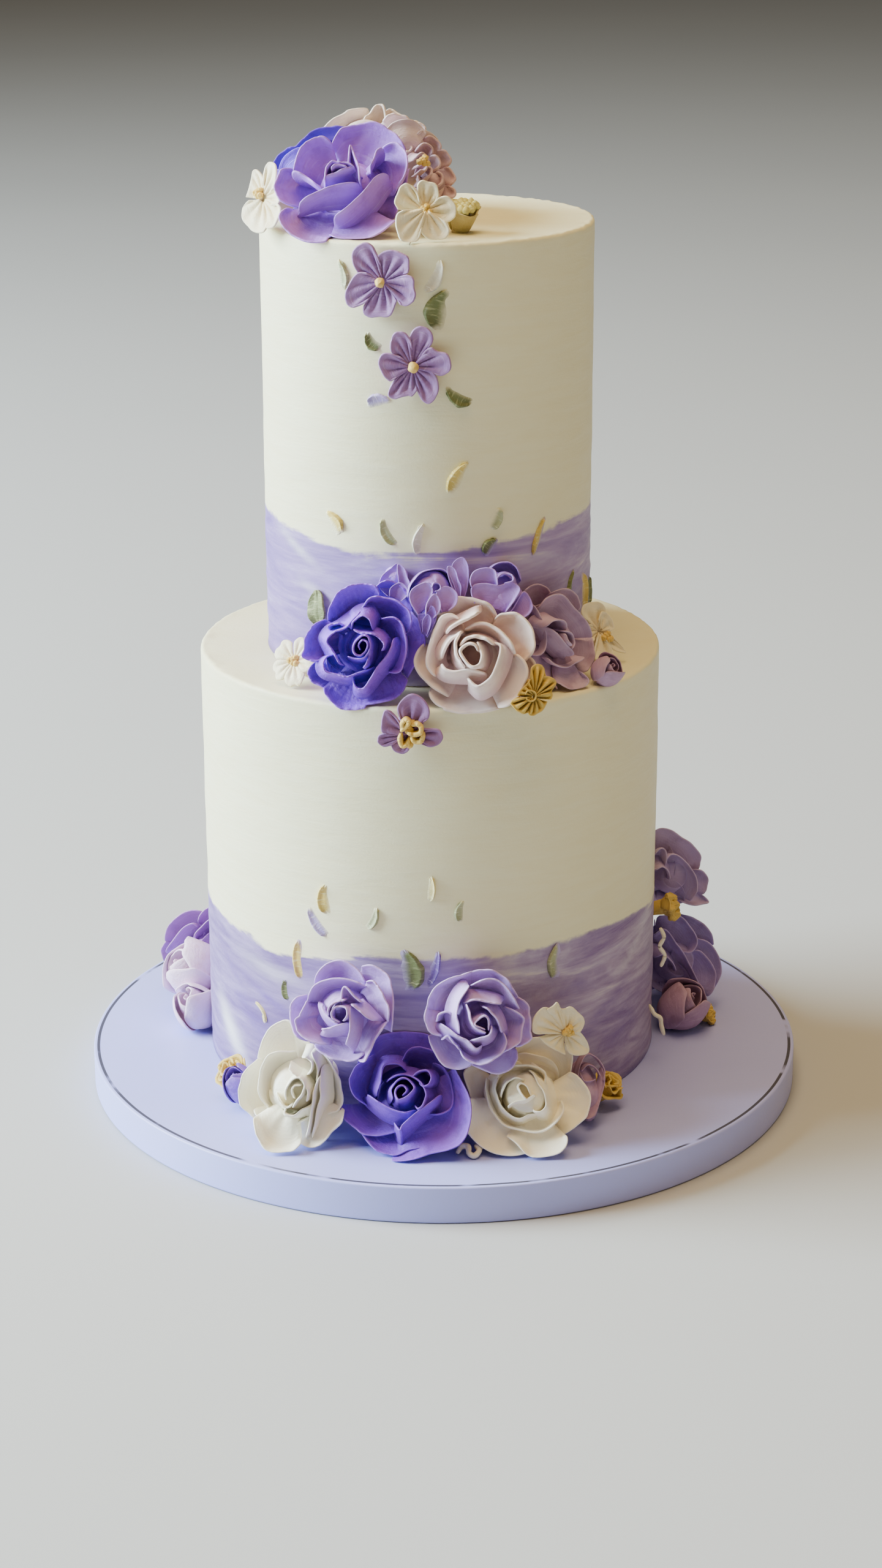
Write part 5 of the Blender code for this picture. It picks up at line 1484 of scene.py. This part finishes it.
def dots(name, x, y, z, radius, azimuth, elevation, count, spread, bead, ribs=0.0):
    """A little heap of piped dots, round or ribbed by a star nozzle."""
    chance = random.Random(name)
    parts = []
    deselect()
    for index in range(count):
        bpy.ops.mesh.primitive_uv_sphere_add(segments=20, ring_count=12, radius=1.0)
        made = bpy.context.object
        angle = index * 2.4
        away = spread * math.sqrt(index / max(1, count - 1)) if count > 1 else 0.0
        seed = Vector((index * 3.0, chance.random() * 9, 0.0))
        grown = bead * chance.uniform(0.8, 1.2)
        for vertex in made.data.vertices:
            lump = 1 + 0.22 * noise.noise(vertex.co * 1.6 + seed)
            lump += ribs * math.cos(5 * math.atan2(vertex.co.y, vertex.co.x) + index)
            peak = 0.35 * max(0.0, vertex.co.z) ** 6
            spot = vertex.co * lump * grown * MM
            spot.z = spot.z * 0.8 + peak * grown * MM
            spot.x += math.cos(angle) * away * MM
            spot.y += math.sin(angle) * away * MM
            spot.z += (0.17 * radius - 0.12 * away) * MM
            vertex.co = spot
        parts.append(made)
    made = joined(parts)
    made.name = name
    set_in_place(made, x, y, z, azimuth, elevation)
    return made


BLOSSOM_RIMS = {
    "flower_side_upper": ((624, 461), (
        ("fan", 14, 14, (-40, -15, -47, -31, -50, -46, -41, -57, -29, -64, -18, -60, -11, -48, -5,
            -33)),
        ("fan", 10, 10, (-7, -41, 3, -49, 18, -51, 32, -46, 42, -39, 43, -24, 40, -14)),
        ("fan", 14, 14, (38, -12, 49, -6, 51, 9, 53, 20, 48, 32, 37, 39, 28, 35)),
        ("fan", 10, 10, (23, 29, 17, 45, 10, 55, -6, 56, -21, 57, -31, 50, -29, 36)),
        ("fan", 16, 16, (-25, 31, -41, 39, -53, 40, -60, 29, -59, 14, -50, -3, -38, -15, -24, -14)),
    )),
    "flower_side_lower": ((673, 600), (
        ("fan", 14, 14, (-33, -23, -35, -40, -32, -52, -23, -57, -12, -55, -5, -47, -1, -34)),
        ("fan", 10, 10, (-5, -40, -1, -57, 9, -65, 22, -64, 31, -55, 33, -44, 26, -31)),
        ("fan", 14, 14, (19, -23, 29, -31, 42, -25, 55, -21, 62, -8, 60, 6, 49, 13, 35, 9)),
        ("fan", 10, 10, (31, 6, 39, 18, 42, 35, 37, 51, 25, 59, 15, 52, 8, 38)),
        ("fan", 12, 12, (8, 36, 1, 45, -7, 46, -18, 47, -30, 51, -39, 45, -36, 32, -27, 19)),
        ("fan", 16, 16, (-27, 16, -37, 22, -46, 12, -53, 0, -54, -14, -45, -22, -32, -21, -18,
            -16)),
    )),
    "flower_mid_violet": ((668, 1200), (
        ("fan", 22, 22, (-15, -28, -19, -44, -11, -58, 2, -65, 15, -63, 26, -53, 32, -40, 31, -28,
            22, -21)),
        ("fan", 26, 26, (-13, -14, -23, -30, -33, -39, -41, -37, -44, -20, -45, -5, -36, -1)),
        ("fan", 20, 20, (-34, -3, -48, 0, -51, 8, -48, 16, -40, 19, -27, 16)),
        ("fan", 12, 12, (-31, 14, -24, 25, -12, 31, -3, 27, 3, 14)),
        ("fan", 20, 20, (20, -10, 37, -9, 49, -7, 53, 3, 47, 15, 34, 20, 20, 16)),
        ("curl", 42, 50, (-13, -3, -6, -10, -1, -17, -6, -22, -12, -16, -11, -8)),
        ("curl", 50, 42, (-3, 0, 7, 2, 16, -1, 18, -9, 12, -15, 3, -13)),
        ("curl", 40, 40, (1, 5, 8, 12, 17, 12, 21, 4, 19, -3)),
        ("curl", 40, 34, (-13, 0, -14, 9, -11, 18, -4, 15, 0, 7)),
        ("curl", 36, 30, (-4, 11, 0, 19, 4, 13)),
    )),
    "flower_low_white": ((925, 1688), (
        ("fan", 16, 16, (-41, 0, -54, -3, -54, -20, -48, -32, -37, -42, -25, -40)),
        ("fan", 20, 20, (-32, -38, -21, -45, -14, -51, -8, -41, 1, -41)),
        ("fan", 16, 16, (-6, -36, 5, -43, 17, -37, 26, -27, 28, -15, 22, -2)),
        ("fan", 12, 12, (21, -3, 30, 8, 37, 24, 32, 32, 16, 34, 4, 29, 1, 18)),
        ("fan", 8, 8, (-45, 4, -33, 16, -19, 26, -1, 33)),
    )),
    "flower_top_white_left": ((427, 322), (
        ("fan", 16, 16, (-25, 0, -19, -22, -16, -37, -10, -45, -2, -38, 4, -24)),
        ("fan", 20, 20, (2, -22, 4, -46, 11, -56, 20, -55, 23, -40, 20, -19)),
        ("fan", 14, 14, (14, -12, 25, -19, 31, -7, 26, 10, 16, 15)),
        ("fan", 18, 18, (14, 12, 25, 12, 30, 21, 25, 36, 18, 48, 7, 49)),
        ("fan", 16, 16, (9, 44, 3, 55, -9, 56, -21, 49, -30, 36, -31, 18, -21, 4)),
    )),
    "flower_top_white_right": ((694, 344), (
        ("fan", 22, 22, (-44, -2, -49, -14, -44, -29, -38, -40, -29, -44, -19, -39, -13, -28, -10,
            -16)),
        ("fan", 14, 14, (-10, -26, -12, -41, -5, -48, 6, -47, 18, -41, 22, -26, 17, -14)),
        ("fan", 22, 22, (18, -16, 29, -23, 42, -19, 50, -4, 48, 9, 36, 18, 20, 15)),
        ("fan", 76, 76, (31, 16, 39, 31, 34, 43, 21, 47, 6, 45, -4, 36, -7, 22)),
        ("fan", 86, 86, (-34, -1, -45, 6, -47, 22, -44, 37, -37, 49, -24, 54, -12, 49, -7, 32)),
    )),
    "flower_top_pink": ((704, 268), (
        ("outer", -10, -10, (-10, -42, 2, -44, 14, -34, 16, -22)),
        ("outer", -12, -12, (12, -24, 24, -20, 32, -8, 28, 2)),
        ("outer", -14, -14, (24, 2, 34, 10, 38, 22, 32, 32)),
        ("outer", -14, -14, (28, 32, 38, 40, 38, 50, 26, 54)),
        ("outer", -10, -10, (-14, 32, -4, 44, 10, 46, 18, 38)),
        ("middle", 10, 10, (-20, -26, -10, -33, 2, -26, 4, -16)),
        ("middle", 10, 10, (2, -16, 12, -10, 14, 2, 6, 8)),
        ("middle", 10, 10, (8, 8, 18, 16, 18, 28, 8, 34)),
        ("middle", 10, 10, (0, 32, -10, 32, -18, 22, -18, 12)),
        ("inner", 24, 24, (-24, -10, -14, -18, -4, -10, -4, 0)),
        ("inner", 24, 24, (-4, 0, 2, 8, -2, 18, -12, 20)),
        ("heart", 34, 38, (-16, 0, -10, -4, -6, 2, -10, 10, -17, 8)),
    )),
    "flower_mid_white_right": ((980, 1030), (
        ("fan", 20, 20, (-18, -18, -29, -27, -25, -42, -6, -47, 9, -36, 8, -16)),
        ("fan", 26, 26, (-2, -16, 4, -31, 15, -24, 23, -6, 16, 0)),
        ("fan", 18, 18, (10, 0, 18, 6, 32, 20, 42, 35, 24, 31, 6, 16)),
        ("fan", 24, 24, (9, 13, 20, 32, 18, 50, 4, 48, -9, 45, -8, 28, -4, 14)),
        ("fan", 14, 14, (-8, 14, -18, 20, -24, 8, -22, -8, -12, -10)),
    )),
    "ruffle_mid_yellow": ((868, 1138), (
        ("fan", 40, 40, (0, -30, -1, -40, 1, -48, 8, -53, 14, -52, 20, -48, 22, -40, 23, -33)),
        ("fan", 44, 44, (20, -34, 29, -32, 37, -28, 40, -23, 37, -17, 33, -10, 34, -3, 31, 4)),
        ("fan", 38, 38, (25, 7, 22, 14, 17, 22, 10, 26, 3, 30, -3, 29, -6, 22)),
        ("fan", 40, 40, (-5, 25, -12, 27, -19, 24, -25, 21, -30, 15, -34, 10, -28, 3, -21, 0)),
        ("fan", 42, 42, (-22, -2, -19, -10, -12, -16, -6, -22, -2, -29)),
        ("ring", 56, 56, (-9, -4, -5, -10, 2, -10, 7, -5, 7, 2, 2, 6, -5, 5, -8, 0)),
    )),
}
HANGS.update({
    "fan": (0.90, 0.16, -0.06, 0.03, 0.00),
    "curl": (0.02, 0.34, 0.04, 0.05, 0.06),
})


def drawn_blossom(name, place, depth, folds=0.045):
    """A flat flower whose fanned petals are each given by their outline."""
    deselect()
    chance = random.Random(name)
    radius = place[3]
    heart, petals = BLOSSOM_RIMS[name]
    parts = [drawn_petal(place, heart, 0.1, *petal, chance.random() * 20, cells=(4, 8),
                         ragged=0.012, rim=0.8, folds=folds if petal[0] == "fan" else 0.0)
             for petal in petals if petal[0] != "curl"]
    spot = spot_of(place)
    made = one_flower(name + "_piped", parts, 0.085 * radius, spot)
    rest_on_tiers(made)
    points = ((0.36, -depth / radius), (0.42, -0.5 * depth / radius), (0.26, -0.04))
    return on_stub(made, radius * MM, points, 1.0, spot)


def yellow_curls(name, place):
    """Short upright ribbons of yellow in the middle of the violet flower, round a few dots."""
    deselect()
    heart, petals = BLOSSOM_RIMS[name]
    parts = [drawn_petal(place, heart, 0.1, *petal, 3.0 * index, cells=(5, 5), ragged=0.03, rim=0.8)
             for index, petal in enumerate(petals) if petal[0] == "curl"]
    made = one_flower(name + "_curls", parts, 0.16 * place[3], spot_of(place))
    return joined([made, dots(name + "_heap", *place, *CURL_HEAP)])


# Dots in the middle of a flower: how many, how far they spread and their radius (mm).
CURL_HEAP = (5, 1.9, 1.35)
SINGLE_DOT = (1, 1.6, 1.9)
DOT_CLUSTER = (6, 1.6, 1.0)
PINK_MIDDLE = (-6.4, -24.0, 329.0)
for name, (slot, *place, depth) in BLOSSOMS.items():
    if name in BLOSSOM_RIMS:
        flower = drawn_blossom(name, place, depth)
    else:
        flower = piped_blossom(name, *place, depth)
    look = BLOSSOM_LOOKS["violet" if name == "flower_mid_violet" else slot]
    hand_over(flower, piped_icing(name, **look), slot, name)
    if name == "flower_mid_violet":
        middle = yellow_curls(name, place)
    else:
        spot = PINK_MIDDLE if name == "flower_top_pink" else place[:3]
        heap = SINGLE_DOT if name.startswith("flower_side") else DOT_CLUSTER
        middle = dots(name + "_dots", *spot, *place[3:], *heap)
    hand_over(middle, piped_icing(name + "_dots", **BEAD_YELLOW, start=1.2), "yellow")

# Ruffles. Dabs of golden yellow from a star nozzle, pulled out in a short wriggle so that the
# ribs stand up as frills, set where the roses leave a corner, and one heap of lime green drops.
# name: slot, x, y, z, radius, half its height (mm), azimuth and elevation that it faces, stalk (mm)
RUFFLES = {
    "bud_top_lime": ("lime", 6.7, -33.5, 314.2, 5.6, 6.6, 25, 72, 0),
    "ruffle_mid_yellow": ("yellow", 28.8, -78.5, 168.8, 7.2, 4.5, 22, 22, 12),
    "ruffle_low_right": ("yellow", 56.0, -66.5, 21.0, 5.6, 4.0, 45, 45, 5),
    "ruffle_low_left": ("yellow", -73.5, -57.5, 22.5, 6.2, 4.0, -48, 45, 6),
    "ruffle_right_yellow": ("yellow", 82.0, 3.0, 60.0, 4.8, 3.5, 75, 15, 5),
    "ruffle_right_low": ("yellow", 96.5, 5.0, 16.6, 4.2, 3.0, 80, 30, 1),
}
RUFFLE_LOOKS = {
    "lime": dict(body=(0.50, 0.42, 0.20), rim=(0.66, 0.56, 0.30), deep=(0.26, 0.22, 0.10)),
    "yellow": dict(
        body=(0.66, 0.46, 0.10), rim=(0.84, 0.68, 0.30), deep=(0.38, 0.26, 0.06), crumb=0.5),
    "ivory": dict(body=(0.86, 0.80, 0.62), rim=(0.93, 0.90, 0.80), deep=(0.66, 0.54, 0.34)),
}


def piped_ruffle(name, x, y, z, radius, half_length, azimuth, elevation, stalk, rings=3):
    """A frilled dab: wound ribbons with strongly waved rims on a short stub."""
    deselect()
    chance = random.Random(name)
    size = radius * MM
    tall = half_length / radius
    parts = []
    for reach, low, high, count, half_angle in (
        (0.98, -0.9 * tall, 0.35 * tall, 3, 1.15), (0.62, -0.4 * tall, 0.8 * tall, 3, 1.15),
        (0.28, 0.0, tall, 2, 1.7),
    )[:rings]:
        for index in range(count):
            profile = ((0.4 * reach, low), (0.7 * reach, low), (0.85 * reach, high), (reach, high))
            parts.append(ribbon_petal(
                size, 2 * math.pi * index / count + chance.uniform(-0.2, 0.2), half_angle, 0.10,
                0.12, 0.10, profile, chance.random() * 20, (22, 6), 0.08, 0.05))
    place = (x, y, z, azimuth, elevation)
    made = one_flower(name + "_piped", parts, 0.14 * radius, place)
    points = ((0.50, -tall - stalk / radius), (0.62, -0.4 * tall), (0.30, 0.2 * tall))
    return on_stub(made, size, points, 2.0, place)


# The heaps of drops: how many, how far they spread and their radius (mm or shares of the dab's).
LIME_HEAP = (24, 4.3, 1.5)
LIME_DROPS = dict(body=(0.70, 0.64, 0.22), rim=(0.84, 0.78, 0.40), start=1.2)
YELLOW_HEAP = (8, 0.75, 0.42)
for name, (slot, *place) in RUFFLES.items():
    x, y, z, radius, half_length, azimuth, elevation, stalk = place
    if name == "ruffle_mid_yellow":
        spot = (x, y, z, radius, azimuth, elevation)
        ruffle = drawn_blossom(name, spot, stalk, folds=0.26)
    else:
        ruffle = piped_ruffle(name, *place, rings=3 if name.startswith("ruffle_low") else 1)
    if slot == "lime":
        heap = dots(name + "_dots", x, y, z - 2.0, 5.0 * radius, 0, 78, *LIME_HEAP)
        hand_over(heap, piped_icing(name + "_dots", **LIME_DROPS), slot)
    if name.startswith("ruffle_right"):
        count, spread, bead = YELLOW_HEAP
        heap = dots(name + "_drops", x, y, z, radius, azimuth, elevation, count,
                    spread * radius, bead * radius, ribs=0.16)
        ruffle = joined([ruffle, heap])
    hand_over(ruffle, piped_icing(name, **RUFFLE_LOOKS[slot]), slot, name)

# Squiggles. Thin ropes of white buttercream from a small round nozzle, which fell in curls: an S
# on the board before the violet rose and two that run down beside the roses at the right.
SQUIGGLES = {   # points in millimetres, then the rope's width
    "ruffle_low_white": ((
        (4.0, -104.0, 14.2), (5.6, -101.6, 15.4), (7.6, -102.4, 15.8), (8.0, -105.0, 14.6),
        (9.8, -106.0, 14.2), (11.4, -103.6, 15.0), (10.6, -101.4, 15.6), (12.6, -100.6, 14.4),
    ), 1.9),
    "squiggle_right_up": ((
        (76.3, -24.0, 62.2), (77.7, -24.0, 58.7), (76.3, -24.0, 55.2), (78.1, -24.0, 51.7),
        (76.8, -24.0, 47.5),
    ), 1.4),
    "squiggle_right_low": ((
        (72.7, -28.0, 34.6), (74.5, -28.0, 31.1), (76.7, -28.0, 29.4), (77.2, -28.0, 26.3),
        (78.2, -28.0, 22.8),
    ), 1.5),
}


def piped_rope(name, points, width):
    """A round rope through points, thicker where the nozzle slowed."""
    deselect()
    bpy.ops.mesh.primitive_cylinder_add(vertices=16, radius=1.0, depth=1.0, end_fill_type="TRIFAN")
    made = bpy.context.object
    made.name = name + "_rope"
    pick(made, "EDGE", lambda ends: abs(ends[0].z - ends[1].z) > 0.5)
    bpy.ops.mesh.subdivide(number_cuts=12 * len(points))
    deselect()
    line = [Vector(point) for point in points]
    for vertex in made.data.vertices:
        share = min(1.0, max(0.0, vertex.co.z + 0.5))
        here = rim_point(line, share)
        ahead = rim_point(line, min(1.0, share + 0.01)) - rim_point(line, max(0.0, share - 0.01))
        turned = ahead.to_track_quat("Z", "Y")
        swell = 1 + 0.22 * noise.noise(here * 0.6) - 0.45 * abs(2 * share - 1) ** 10
        flat = Vector((vertex.co.x, vertex.co.y, 0.0)) * width / 2 * swell
        vertex.co = (here + turned @ flat) * MM
    return made


for name, (points, width) in SQUIGGLES.items():
    rope = piped_rope(name, points, width)
    nodes = ("ruffle_low_white",) if name == "ruffle_low_white" else ()
    hand_over(rope, piped_icing(name, **RUFFLE_LOOKS["ivory"], start=1.2), "ivory", *nodes)

# Leaf. One thin wavy leaf of green buttercream from a leaf nozzle, with a rib along its middle
# and one paler half, standing between the violet rose and the top tier's wall.
LEAF_PLACE = (-41.4, -44.2, 185.5, -39.7, 0)
LEAF_HALF_WIDTH = 4.0
LEAF_LENGTH = 12.0
LEAF_THICKNESS = 1.0 * MM
LEAF_LEAN = 12
deselect()
bpy.ops.mesh.primitive_grid_add(x_subdivisions=18, y_subdivisions=24, size=2.0)
leaf = bpy.context.object
leaf.name = "leaf_mid_left_piped"
for vertex in leaf.data.vertices:
    side, share = vertex.co.x, (vertex.co.y + 1) / 2
    spread = 0.10 + 0.90 * math.sin(math.pi * min(1.0, share * 0.92 + 0.06)) ** 0.8
    rib = 0.45 * math.exp(-(side / 0.16) ** 2)
    frill = 0.5 * abs(side) ** 2 * math.sin(11 * share + side)
    cupped = 0.9 * abs(side) * spread + 0.8 * math.sin(5 * share)
    vertex.co = Vector((side * spread * LEAF_HALF_WIDTH, (share - 0.5) * LEAF_LENGTH,
                        cupped + rib + frill)) * MM
leaf.rotation_euler = (0.0, 0.0, math.radians(LEAF_LEAN))
bpy.ops.object.transform_apply(location=True, rotation=True, scale=True)
thicken(leaf, LEAF_THICKNESS)
set_in_place(leaf, *LEAF_PLACE)
leaf_green = piped_icing("leaf_mid_left", *GREEN, start=0.95, streaks=0.8)
hand_over(leaf, leaf_green, "green", "leaf_mid_left")

# Floor, light and camera. A plain pale table, a large cool window light from the left, a warm one
# from the ceiling and a weak one from the right, and the camera where the photograph was taken.
FLOOR_SIZE = 24.0
FLOOR_GAP = 0.2 * MM
SENSOR_WIDTH = 36.0
deselect()
bpy.ops.mesh.primitive_plane_add(size=FLOOR_SIZE, location=(0.0, 0.0, -FLOOR_GAP))
floor = bpy.context.object
floor.name = "floor"
table_top, tree, shader, spot = new_material("floor", 0.55, 0.3)
cloud = noise_node(tree, spot, 2.0, 2.0)
tone = mix_node(tree, (cloud, "Fac"), (0.47, 0.48, 0.50), (0.50, 0.51, 0.53))
colour_to(tree, tone, shader)
floor.data.materials.append(table_top)

# The lamps: where each stands and looks (metres), its power in watts, its size and its colour.
for name, spot, aim, power, size, colour in (
    ("window", (-2.15, 0.10, 1.10), (0.0, 0.0, 0.17), 290.0, 1.5, (0.77, 0.93, 1.0)),
    ("room", (1.9, -1.1, 0.9), (0.0, 0.0, 0.18), 7.0, 1.6, (1.0, 0.76, 0.46)),
    ("ceiling", (-0.2, -0.1, 2.4), (0.0, 0.0, 0.2), 62.0, 1.8, (1.0, 0.72, 0.36)),
):
    lamp = bpy.data.lights.new(name, "AREA")
    lamp.energy = power
    lamp.size = size
    lamp.color = colour
    holder = bpy.data.objects.new(name, lamp)
    holder.location = spot
    holder.rotation_euler = (Vector(aim) - Vector(spot)).to_track_quat("-Z", "Y").to_euler()
    bpy.context.scene.collection.objects.link(holder)

sky = bpy.data.worlds.new("room")
sky.use_nodes = True
glow = sky.node_tree.nodes["Background"]
glow.inputs["Color"].default_value = (1.0, 0.81, 0.55, 1.0)
glow.inputs["Strength"].default_value = 0.10
bpy.context.scene.world = sky

lens = bpy.data.cameras.new("camera")
lens.sensor_width = SENSOR_WIDTH
lens.lens = FOCAL_PIXELS * SENSOR_WIDTH / (2 * PHOTO_MIDDLE[1])
camera = bpy.data.objects.new("camera", lens)
camera.location = CAMERA_PLACE
camera.rotation_euler = camera_turn
bpy.context.scene.collection.objects.link(camera)
bpy.context.scene.camera = camera
